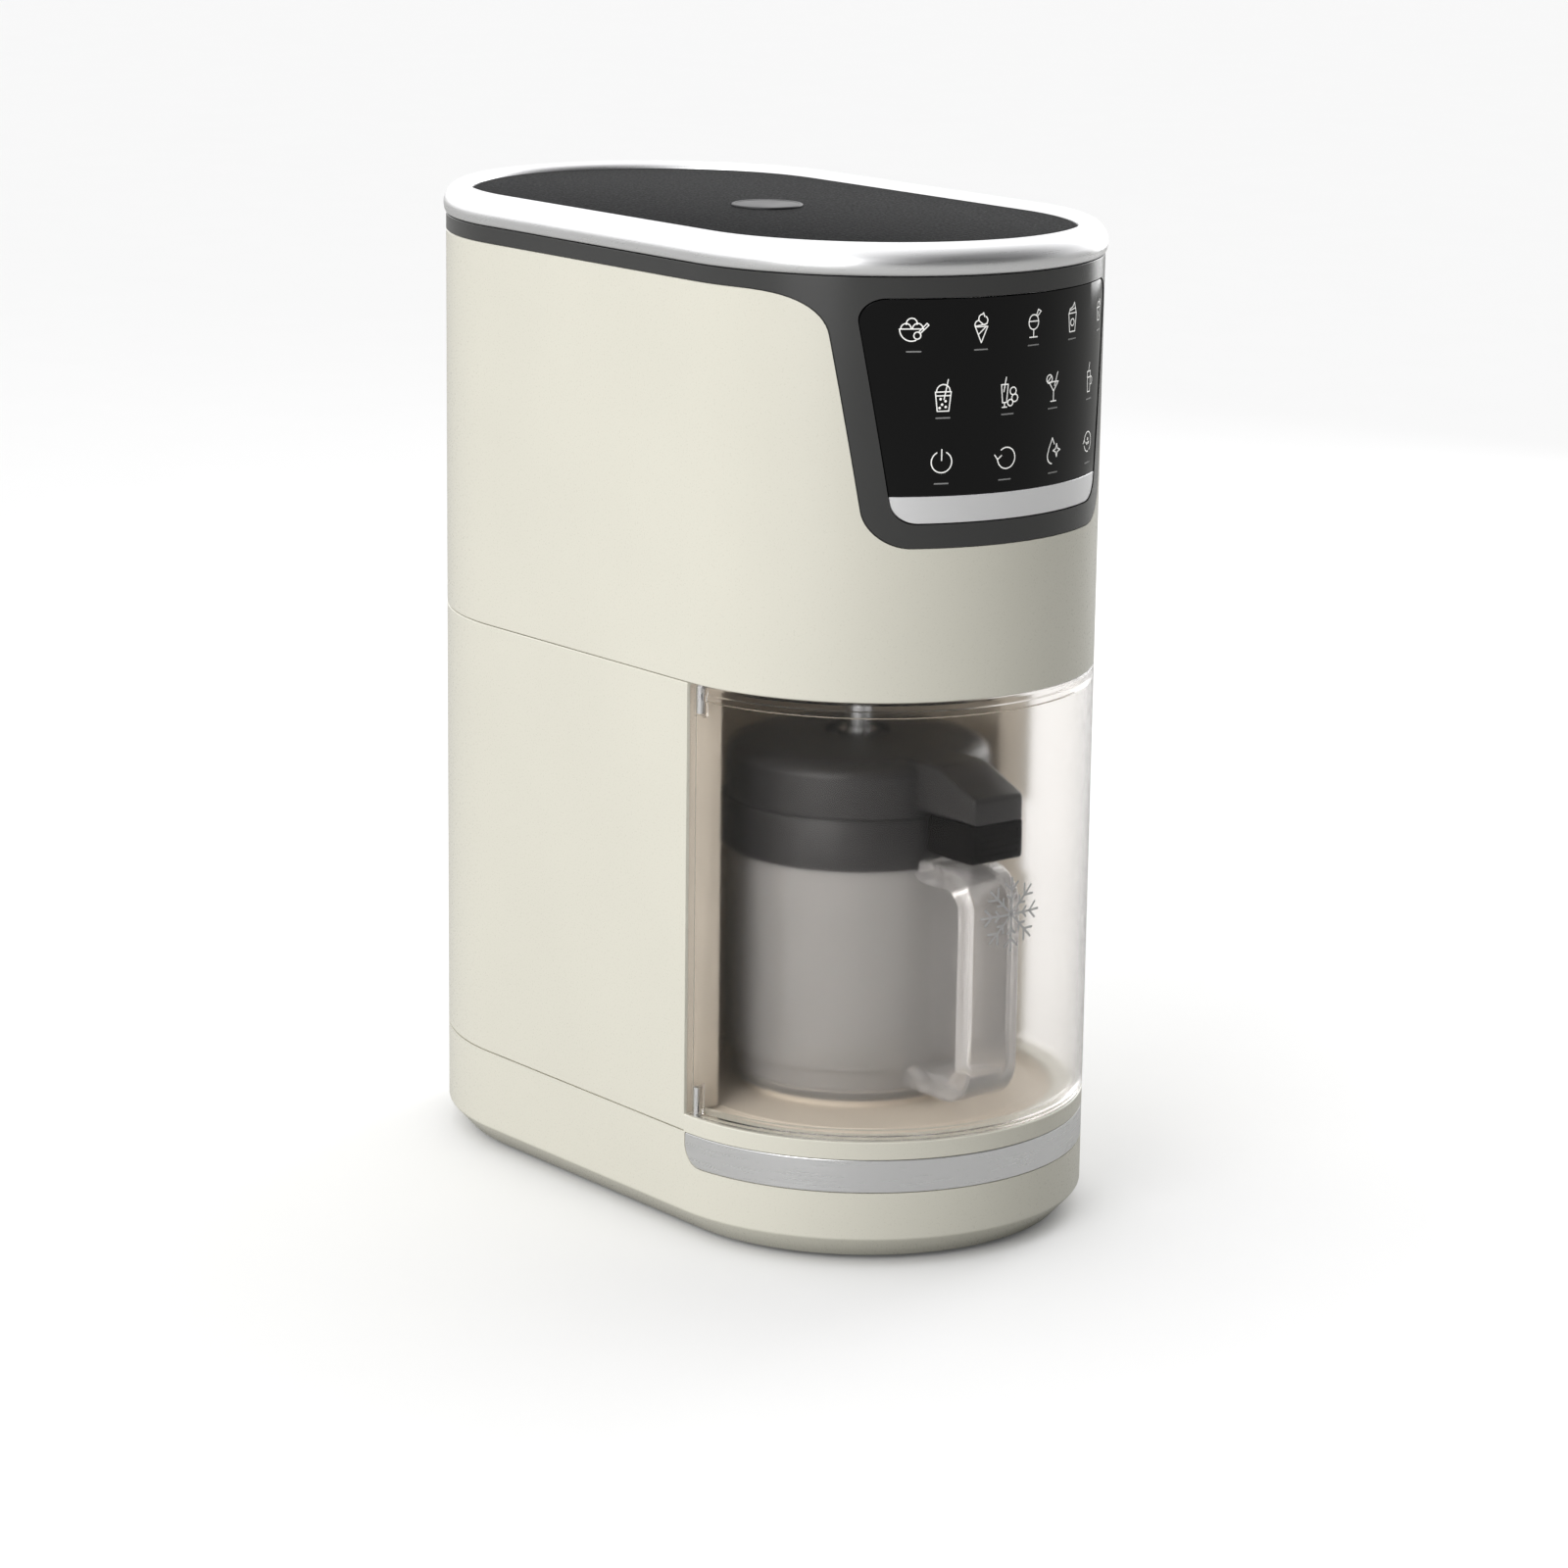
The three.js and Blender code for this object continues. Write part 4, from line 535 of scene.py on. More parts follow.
def chamber_floor():
    disc_r = high("chamber_floor").x
    top = RIM - 0.6 * MM
    seat_r = 43.5 * MM
    profile = [(disc_r, RIM - 2.7 * MM), (disc_r, top - 0.5 * MM), (disc_r - 0.5 * MM, top)]
    for k in range(3):
        r = disc_r - (2.2 + 2.2 * k) * MM
        groove = top - 0.45 * MM
        profile += [(r, top), (r - 0.35 * MM, groove), (r - 0.75 * MM, groove), (r - 1.1 * MM, top)]
    disc = lathe("floor_disc", profile + [(20 * MM, top)], FRONT_Y, n=128)
    inner = seat_r - 12 * MM
    z = high("chamber_floor").z
    seat = lathe(
        "seat",
        [
            (inner, top - 1 * MM), (seat_r, top - 1 * MM), (seat_r, z - 0.5 * MM),
            (seat_r - 0.5 * MM, z), (inner + 0.5 * MM, z), (inner, z - 0.5 * MM),
        ],
        BOWL_Y,
        tube=True,
    )
    return smooth(join("chamber_floor_disc", [disc, seat]))


place(base_shell(), cream, "body", "cream_plastic", "base_housing")
place(trim_band(), silver, "body", "silver_trim", "base_trim_band")
place(chamber_floor(), beige, "body", "beige_plastic", "chamber_floor")


# ------------------------------------------------------------------ column and head walls
def vent_slots(node_low, count, pitch, height, half=16 * MM):
    cutters = []
    for i in range(count):
        z = node_low + i * pitch
        end = height * 0.49
        corners = [(-half, z, end), (-half, z + height, end), (half, z + height, end), (half, z, end)]
        outline = rounded(corners, 5)
        cutters.append(prism("slot", outline, "y", END_Y, 0.3))
    return cutters


def column():
    wall = stadium_wall("column", BODY_R, BODY_R - WALL, low("column_shell").z, high("column_shell").z)
    front = block("front", -0.3, 0.3, -0.3, SPLIT_Y, 0, 0.5)
    level = 118 * MM
    near, deep, upper = SPLIT_Y - 0.01, SPLIT_Y + 7 * MM, level + 30 * MM
    finger = rounded([(near, level, 0), (deep, level, 4 * MM), (deep, upper, 4 * MM), (near, upper, 0)])
    recess = prism("recess", finger, "x", 0, FAR)
    boolean(wall, [front, recess] + vent_slots(DECK + 30 * MM, 4, 9 * MM, 4 * MM))
    wall.name = "column_wall"
    return wall_normals(bevel(wall, 0.4 * MM, 60))


def bezel_outline(gap):
    top = low("panel_bezel").z
    line = high("upper_housing").z + gap
    bottom = top - GAP + gap
    half_top = 68.5 * MM - gap
    half_low = 56.2 * MM - gap
    corners = [
        (-0.3, 0.5, 0),
        (-0.3, line, 0),
        (-half_top, line, 17 * MM + gap),
        (-half_low, bottom, 16 * MM),
        (half_low, bottom, 16 * MM),
        (half_top, line, 17 * MM + gap),
        (0.3, line, 0),
        (0.3, 0.5, 0),
    ]
    return rounded(corners, 14)


def panel_outline(gap):
    top = high("touch_panel").z - gap
    bottom = low("panel_strip").z + gap
    corners = [
        (-60.1 * MM + gap, top, 8 * MM),
        (-48.2 * MM + gap, bottom, 9 * MM),
        (48.2 * MM - gap, bottom, 9 * MM),
        (60.1 * MM - gap, top, 8 * MM),
    ]
    return rounded(corners, 12)


def head_wall():
    wall = stadium_wall("head", BODY_R, BODY_R - WALL, HEAD, high("upper_housing").z)
    opening = prism("opening", bezel_outline(0), "y", -0.3, FRONT_Y + 0.02)
    boolean(wall, [opening] + vent_slots(HEAD + 80 * MM, 5, 9 * MM, 4 * MM))
    wall.name = "head_wall"
    return wall_normals(bevel(wall, 0.4 * MM, 60))


def bezel():
    bottom = low("panel_bezel").z - 1 * MM
    wall = stadium_wall("bezel_wall", BODY_R, BODY_R - WALL, bottom, high("panel_bezel").z, 0.2 * MM)
    keep = prism("keep", bezel_outline(GAP), "y", -0.3, FRONT_Y + 0.02)
    band = block("band", -0.3, 0.3, -0.3, 0.3, high("upper_housing").z + GAP, 0.5)
    boolean(keep, [band], "UNION")
    boolean(wall, [keep], "INTERSECT")
    boolean(wall, [prism("hole", panel_outline(-0.5 * MM), "y", -0.3, FRONT_Y + 0.02)])
    wall.name = "bezel"
    return wall_normals(bevel(wall, 0.6 * MM, 60, 3))


def panel_piece(name, z0, z1, edge):
    wall = stadium_wall("panel_wall", PANEL_R, PANEL_R - WALL, z0, z1, edge)
    boolean(wall, [prism("shape", panel_outline(0), "y", -0.3, FRONT_Y + 0.02)], "INTERSECT")
    wall.name = name
    return wall_normals(bevel(wall, 0.2 * MM, 60))


place(column(), cream, "body", "cream_plastic", "column_shell")
place(head_wall(), cream, "body", "cream_plastic", "upper_housing")
place(bezel(), gunmetal, "body", "gunmetal_plastic", "panel_bezel")
glass_low = low("touch_panel").z
glass = panel_piece("panel_glass", glass_low, high("touch_panel").z + 1 * MM, 0.1 * MM)
place(glass, gloss, "body", "gloss_black", "touch_panel")
strip_top = high("panel_strip").z
strip = panel_piece("panel_band", low("panel_strip").z - 1 * MM, strip_top, 0.15 * MM)
place(strip, strip_silver, "body", "silver_trim", "panel_strip")


# ------------------------------------------------------------------ top
def top_ring():
    base = low("top_ring").z
    top = high("top_ring").z
    cover = high("top_cover").z
    inner = RING_R - 11.5 * MM
    profile = [
        (RING_R - 1.6 * MM, base),
        (RING_R - 0.9 * MM, base + 0.3 * MM),
        (RING_R - 0.3 * MM, base + 1.4 * MM),
        (RING_R, base + 3.4 * MM),
        (RING_R - 0.15 * MM, base + 5.2 * MM),
        (RING_R - 0.8 * MM, base + 7.2 * MM),
        (RING_R - 2.1 * MM, base + 9.2 * MM),
        (RING_R - 3.8 * MM, base + 10.6 * MM),
        (RING_R - 5.8 * MM, top - 0.2 * MM),
        (RING_R - 7.5 * MM, top),
        (RING_R - 9.4 * MM, top - 0.3 * MM),
        (RING_R - 10.8 * MM, top - 1.1 * MM),
        (inner, cover - 0.4 * MM),
        (inner, cover - 4 * MM),
        (inner - 3 * MM, cover - 4.3 * MM),
        (inner - 3 * MM, base),
    ]
    return smooth(stadium_loft("ring", profile, tube=True, n=96), 50)


def top_cover():
    z = high("top_cover").z
    r = high("top_cover").x
    profile = [(r, low("top_cover").z), (r, z - 0.8 * MM), (r - 0.25 * MM, z - 0.25 * MM), (r - 0.8 * MM, z)]
    return smooth(stadium_loft("cover_panel", profile), 50)


def badge():
    z = high("top_badge").z
    r = high("top_badge").x
    profile = [(r, low("top_badge").z), (r, z - 0.3 * MM), (r - 0.3 * MM, z)]
    profile += [(r - 1.1 * MM, z), (r - 1.5 * MM, z - 0.2 * MM), (1 * MM, z - 0.2 * MM)]
    return smooth(lathe("badge_disc", profile, 0.0), 20)


place(top_ring(), silver, "body", "silver_trim", "top_ring")
place(top_cover(), grain_black, "body", "textured_black", "top_cover")
place(badge(), badge_grey, "body", "silver_trim", "top_badge")


# ------------------------------------------------------------------ chamber walls
LINER_INSET = 10 * MM  # from the outside of the machine to the liner's face
JAMB = 7 * MM  # how far the liner's front frame reaches into the chamber


def liner():
    r = low("chamber_liner").y  # front edges
    inner = BODY_R - LINER_INSET
    z0 = low("chamber_liner").z
    z1 = high("chamber_liner").z
    a0 = math.asin((r - FRONT_Y) / inner)
    profile = [(inner, z0), (inner + WALL, z0), (inner + WALL, z1), (inner, z1)]
    back = arc_piece("back", profile, a0, math.pi - a0, FRONT_Y, 96)
    flanges = []
    for s in (-1, 1):
        outer = high("chamber_liner").x
        corners = [(inner + 0.4 * MM, z0), (outer, z0), (outer, z1), (inner - JAMB, z1)]
        corners += [(inner - JAMB, RIM + GAP), (inner + 0.4 * MM, RIM + GAP)]
        outline = [(s * x, z) for x, z in corners][::s]
        flanges.append(bevel(prism("flange", outline, "y", r, r + WALL), 0.4 * MM, 60))
    return smooth(join("chamber_back", [back] + flanges))


place(liner(), beige, "body", "beige_plastic", "chamber_liner")


# ------------------------------------------------------------------ door
DOOR_R = BODY_R
DOOR_IN = BODY_R - 2.5 * MM
HINGE_X = (low("hinge_pin_lower").x + high("hinge_pin_lower").x) / 2
HINGE_Y = (low("hinge_pin_lower").y + high("hinge_pin_lower").y) / 2
KNUCKLE_R = 2.75 * MM
KNUCKLE_LENGTH = 12 * MM
PIN_BORE = 1.7 * MM


def door_shell():
    z0 = low("door").z
    z1 = high("door").z
    rib = DOOR_IN - 2 * MM
    e = 0.6 * MM
    profile = [
        (DOOR_IN, z0), (DOOR_R - e, z0), (DOOR_R, z0 + e), (DOOR_R, z1 - e), (DOOR_R - e, z1), (DOOR_IN, z1),
        (DOOR_IN, z1 - 3.5 * MM), (rib, z1 - 3.5 * MM), (rib, z1 - 6 * MM), (DOOR_IN, z1 - 6 * MM),
        (DOOR_IN, z0 + 3.5 * MM), (rib, z0 + 3.5 * MM), (rib, z0 + 1 * MM), (DOOR_IN, z0 + 1 * MM),
    ]
    edge = math.asin(1.3 * MM / BODY_R)
    shell = arc_piece("door_shell", profile, math.pi + edge, 2 * math.pi - edge, FRONT_Y, 144)
    knuckles = []
    r = KNUCKLE_R
    for z in (z0 + 0.2 * MM, z1 - 12.2 * MM):
        knuckles.append(lathe("knuckle", [(r, z), (r, z + KNUCKLE_LENGTH)], HINGE_Y, HINGE_X, 32))
    boolean(shell, knuckles, "UNION")
    bores = [lathe("bore", [(PIN_BORE, 0), (PIN_BORE, FAR)], HINGE_Y, HINGE_X, 32)]
    boolean(shell, bores)
    shell.name = "door_glass"
    return wall_normals(shell, FRONT_Y)


def ribbon(bm, points, width, closed=False, lift=None):
    """Flat strokes along a polyline, with round joints, in two dimensions; lift turns (u, v) into a place."""
    pts = [Vector(p) for p in points]
    half = width / 2
    for p in pts:
        turns = [k * math.pi / 4 for k in range(8)]
        ring = [bm.verts.new(lift(p.x + half * math.cos(t), p.y + half * math.sin(t))) for t in turns]
        bm.faces.new(ring)
    pairs = list(zip(pts, pts[1:])) + ([(pts[-1], pts[0])] if closed else [])
    for a, b in pairs:
        along = b - a
        if along.length < 1e-9:
            continue
        steps = max(1, int(along.length / (1.5 * MM)))
        across = Vector((-along.y, along.x)).normalized() * half
        for k in range(steps):
            p = a + along * (k / steps)
            q = a + along * ((k + 1) / steps)
            corners = (p + across, p - across, q - across, q + across)
            bm.faces.new([bm.verts.new(lift(c.x, c.y)) for c in corners])


def wrap(radius, angle, level):
    """Lifts flat (u, v) onto the front arc, centred at an angle from the front and at a level."""
    def lift(u, v):
        a = angle + u / radius
        return (radius * math.sin(a), FRONT_Y - radius * math.cos(a), level + v)
    return lift


def decal(name, strokes, radius, width):
    """strokes: (angle in degrees, level, [polylines in mm])."""
    bm = bmesh.new()
    for angle, level, lines in strokes:
        lift = wrap(radius, math.radians(angle), level)
        for line in lines:
            ribbon(bm, [(x * MM, y * MM) for x, y in line], width, lift=lift)
    bmesh.ops.recalc_face_normals(bm, faces=bm.faces)
    for face in bm.faces:
        centre = face.calc_center_median()
        if face.normal.dot(Vector((centre.x, centre.y - FRONT_Y, 0))) < 0:
            face.normal_flip()
    mesh = bpy.data.meshes.new(name)
    bm.to_mesh(mesh)
    bm.free()
    obj = bpy.data.objects.new(name, mesh)
    bpy.context.scene.collection.objects.link(obj)
    return obj


def arc(cx, cy, r, a0, a1, n=14, squash=1.0):
    points = []
    for k in range(n + 1):
        a = math.radians(a0 + (a1 - a0) * k / n)
        points.append((cx + r * math.cos(a), cy + squash * r * math.sin(a)))
    return points


def snowflake():
    lines = []
    for k in range(8):
        a = math.pi * k / 4
        c, s = math.cos(a), math.sin(a)
        def turn(x, y):
            return (x * c - y * s, x * s + y * c)
        lines.append([turn(0, 0), turn(14.0, 0)])
        lines.append([turn(12.2, 3.0), turn(9.2, 0), turn(12.2, -3.0)])
        lines.append([turn(7.4, 1.9), turn(5.6, 0), turn(7.4, -1.9)])
    return lines


place(door_shell(), door_clear, "door", "smoked_clear", "door")
emblem = decal("door_snowflake", [(0, 133 * MM, snowflake())], DOOR_R - 0.02 * MM + 0.06 * MM, 0.95 * MM)
place(emblem, frosted, "door", "smoked_clear")


# ------------------------------------------------------------------ panel icons
def icon_scoops():
    return [
        [(-5.4, 0.3), (3.6, 0.3)],
        arc(-0.9, 0.3, 4.4, 180, 292),
        arc(-3.0, 0.4, 1.9, 0, 180),
        arc(1.3, 0.4, 1.9, 0, 180),
        arc(-0.9, 2.2, 2.0, -8, 188),
        [(2.2, -1.4), (5.4, 1.6), (4.7, 2.3), (1.9, -0.6)],
        arc(1.2, -2.1, 1.3, 0, 360),
    ]


def icon_cone():
    return [
        [(-2.5, 0.4), (0, -5.4), (2.5, 0.4), (-2.5, 0.4)],
        [(-1.2, -2.4), (1.7, 0.2)],
        arc(-1.2, 1.2, 1.5, 210, 90, 8) + arc(0.9, 2.6, 1.6, -90, 60, 8),
        arc(0.3, 3.4, 1.5, 200, 90, 8) + [(0.7, 5.4), (1.2, 4.0)],
        [(-2.4, 0.6), (2.2, 1.4)],
    ]


def icon_goblet():
    return [
        [(-2.4, 0.8)] + arc(0, 0.2, 2.4, 180, 360, 10) + [(2.4, 0.8), (-2.4, 0.8)],
        arc(0, 0.9, 2.3, 0, 180, 10),
        [(0, -2.2), (0, -4.8)],
        [(-1.9, -5.0), (1.9, -5.0)],
        [(1.3, 3.0), (2.2, 5.0), (3.6, 4.2), (1.9, 2.6)],
    ]


def icon_tub():
    return [
        [(-2.7, 1.6), (-1.9, -5.2), (1.9, -5.2), (2.7, 1.6), (-2.7, 1.6)],
        arc(0, -1.8, 1.3, 0, 360, 12),
        [(-2.5, 1.8), (-1.9, 3.2), (0.2, 4.0), (1.2, 5.4), (2.0, 3.2), (2.5, 1.8)],
        [(-1.6, 2.7), (1.9, 3.3)],
    ]


def icon_small_cup():
    return [
        [(-2.6, 0.6), (-1.7, -4.2), (1.3, -4.2), (2.2, 0.6), (-2.6, 0.6)],
        arc(-0.2, 0.8, 1.9, 0, 180, 10),
        [(1.4, 3.6), (2.6, 1.2), (3.2, 3.0)],
        [(-0.6, -1.0), (0.8, -3.0)],
    ]


def icon_tumbler():
    centres = ((-1.0, -1.0), (0.9, -1.8), (-0.4, -3.0), (1.0, -3.9), (-1.3, -4.2))
    dots = [arc(x, y, 0.28, 0, 360, 6) for x, y in centres]
    return [
        [(-3.0, 1.6), (-2.2, -5.4), (2.2, -5.4), (3.0, 1.6), (-3.0, 1.6)],
        arc(0, 1.7, 2.6, 0, 180, 12),
        [(-2.8, 0.2), (2.8, 0.2)],
        [(0.3, -1.2), (1.8, 6.0)],
    ] + dots


def icon_shake():
    return [
        [(-2.9, 3.0), (-2.3, -3.6), (-0.5, -3.6), (0.1, 3.0), (-2.9, 3.0)],
        [(-1.4, -3.6), (-1.4, -5.2)],
        [(-2.4, -5.3), (-0.4, -5.3)],
        [(-1.8, 0.4), (-0.8, 5.6)],
        arc(2.4, 0.4, 1.4, 0, 360, 12),
        arc(3.2, -2.2, 1.4, 0, 360, 12),
        arc(1.2, -3.8, 1.2, 0, 360, 12),
    ]


def icon_martini():
    return [
        [(-2.4, 1.8), (0.3, -1.6), (3.0, 1.8), (-2.4, 1.8)],
        [(0.3, -1.6), (0.3, -5.2)],
        [(-1.3, -5.3), (1.9, -5.3)],
        arc(-2.2, 3.0, 1.6, 0, 360, 12),
        [(-3.3, 1.9), (-1.1, 4.1)],
        [(0.8, 0.2), (2.6, 5.2)],
    ]


def icon_mug():
    return [
        [(-1.9, 2.4), (-1.5, -5.2), (1.0, -5.2), (1.4, 2.4), (-1.9, 2.4)],
        arc(1.9, -1.2, 1.5, 100, -100, 10),
        [(-0.6, 2.4), (0.4, 5.6)],
        [(-1.7, 0.2), (1.2, 0.2)],
    ]


def icon_power():
    return [arc(0, 0, 3.9, 118, 422, 26), [(0, 0.6), (0, 4.6)]]


def icon_again():
    return [arc(0.6, 0, 3.9, 128, -180, 26), [(-4.6, 1.4), (-3.3, -0.3), (-1.6, 1.0)]]


def icon_drop():
    return [
        [(-0.7, 5.0), (-2.6, 1.2)] + arc(-0.4, -1.6, 3.0, 150, 262, 10),
        [(-0.7, 5.0), (0.6, 2.6)],
        [
            (2.0, 2.6), (2.6, 0.8), (4.2, 0.2), (2.6, -0.4), (2.0, -2.2),
            (1.4, -0.4), (-0.2, 0.2), (1.4, 0.8), (2.0, 2.6),
        ],
    ]


def icon_stir():
    dots = [arc(x, y, 0.4, 0, 360, 6) for x, y in ((-0.8, -0.6), (0.8, -0.4), (0.0, 1.0))]
    arrow = [(-4.6, -0.2), (-3.6, 1.0), (-2.6, -0.2)]
    return [arc(0, 0, 3.7, 170, -60, 24), arc(0, 0, 3.7, 200, 280, 8), arrow] + dots


ICON_ROWS = [
    (
        354.3,
        (
            (-29.9, icon_scoops), (-12.8, icon_cone), (2.8, icon_goblet),
            (18.1, icon_tub), (36.0, icon_small_cup),
        ),
    ),
    (330.0, ((-22.4, icon_tumbler), (-4.9, icon_shake), (10.4, icon_martini), (28.8, icon_mug))),
    (306.0, ((-22.5, icon_power), (-5.3, icon_again), (11.1, icon_drop), (29.0, icon_stir))),
]
art = [(angle, level * MM, draw()) for level, row in ICON_ROWS for angle, draw in row]
BAR = [(-2.6, 0), (2.6, 0)]
BAR_DROP = 7.9
bars = [(angle, (level - BAR_DROP) * MM, [BAR]) for level, row in ICON_ROWS for angle, draw in row]
place(decal("panel_icons", art, PANEL_R + 0.05 * MM, 0.42 * MM), print_white_painted_glow, "body", "gloss_black")
place(decal("panel_bars", bars, PANEL_R + 0.05 * MM, 0.5 * MM), print_grey, "body", "gloss_black")


# ------------------------------------------------------------------ bowl, pot and lid
BOWL_LOW = low("outer_bowl").z
BOWL_TOP = high("outer_bowl").z
FOOT_R = BOWL_R - 2.5 * MM
HANDLE_Y = low("outer_bowl").y
HANDLE_W = 12 * MM
HANDLE_TOP = BOWL_TOP - 4 * MM
HANDLE_LOW = HANDLE_TOP - 91 * MM
LID_LOW = low("lid").z
LID_TOP = high("lid").z
LID_R = high("lid").x


def outer_bowl():
    step = BOWL_LOW + 11 * MM
    r = BOWL_R
    body = lathe(
        "vessel",
        [
            (FOOT_R - 2 * MM, BOWL_LOW), (FOOT_R - 0.6 * MM, BOWL_LOW + 0.4 * MM),
            (FOOT_R, BOWL_LOW + 1.6 * MM), (FOOT_R, step), (FOOT_R + 0.5 * MM, step + 0.9 * MM),
            (r - 0.4 * MM, step + 1.7 * MM), (r, step + 2.8 * MM),
            (r, BOWL_TOP - 0.8 * MM), (r - 0.8 * MM, BOWL_TOP),
        ],
        BOWL_Y,
    )
    y_in = BOWL_Y - r + 4 * MM
    bar = 9 * MM

    def grip(i):
        corners = [(HANDLE_Y + i, HANDLE_LOW + i, 15 * MM - i), (y_in, HANDLE_LOW + i, 0)]
        corners += [(y_in, HANDLE_TOP - i, 0), (HANDLE_Y + i, HANDLE_TOP - i, 15 * MM - i)]
        return rounded(corners, 10)

    def gap(i):
        near, bottom, top = HANDLE_Y + bar + i, HANDLE_LOW + bar + i, HANDLE_TOP - bar - i
        corners = [(near, bottom, 7 * MM - i), (BOWL_Y, bottom, 0), (BOWL_Y, top, 0), (near, top, 7 * MM - i)]
        return rounded(corners, 8)

    handle = soft_prism("handle", grip, "x", -HANDLE_W, HANDLE_W, 1.6 * MM)
    fingers = soft_prism("fingers", gap, "x", -HANDLE_W, HANDLE_W, 1.6 * MM, flare=True)
    core = lathe("core", [(r - 0.6 * MM, 0), (r - 0.6 * MM, 0.3)], BOWL_Y)
    room = lathe("room", [(LID_R + 0.9 * MM, LID_LOW - 0.6 * MM), (LID_R + 0.9 * MM, 0.3)], BOWL_Y)
    boolean(fingers, [core])
    boolean(handle, [fingers, room])
    boolean(body, [handle], "UNION")
    ri = r - 2.2 * MM
    fi = FOOT_R - 2.2 * MM
    hollow = lathe(
        "hollow",
        [
            (fi - 1 * MM, BOWL_LOW + 3 * MM), (fi, BOWL_LOW + 4 * MM), (fi, step), (ri, step + 4 * MM),
            (ri, BOWL_TOP - 0.5 * MM), (ri + 0.5 * MM, BOWL_TOP + 0.1 * MM),
            (ri + 0.5 * MM, BOWL_TOP + 5 * MM),
        ],
        BOWL_Y,
    )
    boolean(body, [hollow])
    body.name = "bowl_vessel"
    return smooth(body, 40)


def pot():
    box_low, box_high = low("inner_pot"), high("inner_pot")
    top_r = box_high.x
    foot_r = top_r - 2.8 * MM
    w = 1.5 * MM
    z0, z1 = box_low.z, box_high.z
    profile = [
        (foot_r - 3 * MM, z0), (foot_r - 0.8 * MM, z0 + 0.8 * MM), (foot_r, z0 + 3 * MM),
        (top_r - 0.2 * MM, z1 - 4 * MM), (top_r, z1 - 3.4 * MM), (top_r, z1 - 0.4 * MM),
        (top_r - 0.4 * MM, z1), (top_r - w + 0.3 * MM, z1), (top_r - w, z1 - 0.4 * MM),
        (foot_r - w, z0 + 4 * MM), (foot_r - w - 2 * MM, z0 + 2 * MM), (2 * MM, z0 + 2 * MM),
    ]
    return smooth(lathe("pot_shell", profile, BOWL_Y), 50)


def lid_shell():
    inner = BOWL_R + GAP
    room = inner - 4.6 * MM
    band = LID_LOW + 20 * MM
    ledge = BOWL_TOP + 1.6 * MM
    r = LID_R
    collar = 13 * MM
    top = LID_TOP
    shoulder = top - 13 * MM
    drops = [(1.5, 9), (1.75, 7.6), (2.5, 6.1), (3.8, 4.7), (5.8, 3.6), (8.6, 2.7), (12, 2.05)]
    profile = [(inner, LID_LOW), (r - 0.5 * MM, LID_LOW), (r, LID_LOW + 0.5 * MM)]
    profile += [(r, band - 1.1 * MM), (r - 0.4 * MM, band - 0.3 * MM), (r - 1.5 * MM, band)]
    profile += [(r - a * MM, top - b * MM) for a, b in drops]
    profile += [
        (collar + 10 * MM, top - 0.85 * MM),
        (collar + 4 * MM, top - 0.3 * MM),
        (collar + 2.6 * MM, top - 0.05 * MM),
        (collar + 0.4 * MM, top - 0.05 * MM),
        (collar, top - 0.4 * MM),
        (collar, top - 8 * MM),
        (collar + 8 * MM, top - 8 * MM),
        (room, shoulder),
        (room, ledge),
        (inner, ledge),
    ]
    shell = lathe("shell", profile, BOWL_Y, tube=True)
    latch_top = high("lid_latch").z - 3 * MM
    hood_low = latch_top + GAP
    hood_drop = 11 * MM

    def outline(i):
        back = BOWL_Y - collar - 8 * MM
        corners = [(HANDLE_Y + i, hood_low + i, 0), (back, hood_low + i, 0), (back, top - 2.5 * MM - i, 0)]
        front = top - hood_drop
        corners += [(HANDLE_Y + 22 * MM, front + 9 * MM - i, 10 * MM), (HANDLE_Y + i, front - i, 3 * MM)]
        return rounded(corners, 8)

    hood = soft_prism("hood", outline, "x", -HANDLE_W, HANDLE_W, 1.4 * MM)
    room_r = room + 1.5 * MM
    under = [(room_r, 0), (room_r, shoulder + 1 * MM), (collar + 8 * MM, top - 6.5 * MM)]
    hollow = lathe("hollow", under, BOWL_Y)
    near, far = HANDLE_Y + 4.7 * MM, BOWL_Y - LID_R - 4.7 * MM
    groove = block("groove", -4.3 * MM, 4.3 * MM, near, far, 0.1, latch_top + 3.3 * MM)
    boolean(hood, [hollow, groove])
    boolean(shell, [hood], "UNION")
    shell.name = "lid_shell"
    return smooth(shell, 40)


def latch_button():
    top = high("lid_latch").z - 3 * MM
    bottom = low("lid_latch").z
    back = high("lid_latch").y

    def outline(i):
        corners = [(HANDLE_Y + i, bottom + i, 2 * MM), (back, bottom + i, 0)]
        corners += [(back, top - i, 0), (HANDLE_Y + i, top - i, 1 * MM)]
        return rounded(corners, 6)

    button = soft_prism("latch_button", outline, "x", -HANDLE_W, HANDLE_W, 0.8 * MM)
    ribs = []
    for k in range(4):
        z = bottom + (3.2 + 2.6 * k) * MM
        x = HANDLE_W - 3 * MM
        ribs.append(block("rib", -x, x, HANDLE_Y - 0.01, HANDLE_Y + 0.5 * MM, z, z + 1 * MM))
    boolean(button, ribs)
    near, far = HANDLE_Y + 5 * MM, BOWL_Y - LID_R - 8 * MM
    tongue = block("tongue", -4 * MM, 4 * MM, near, far, top - 1 * MM, high("lid_latch").z)
    boolean(button, [bevel(tongue, 0.4 * MM)], "UNION")
    return smooth(button, 40)


place(outer_bowl(), bowl_clear, "bowl", "smoked_bowl", "outer_bowl")
place(pot(), pot_grey, "bowl", "grey_plastic", "inner_pot")
place(lid_shell(), dark, "lid", "dark_plastic", "lid")
place(latch_button(), latch_black, "latch", "black_plastic", "lid_latch")

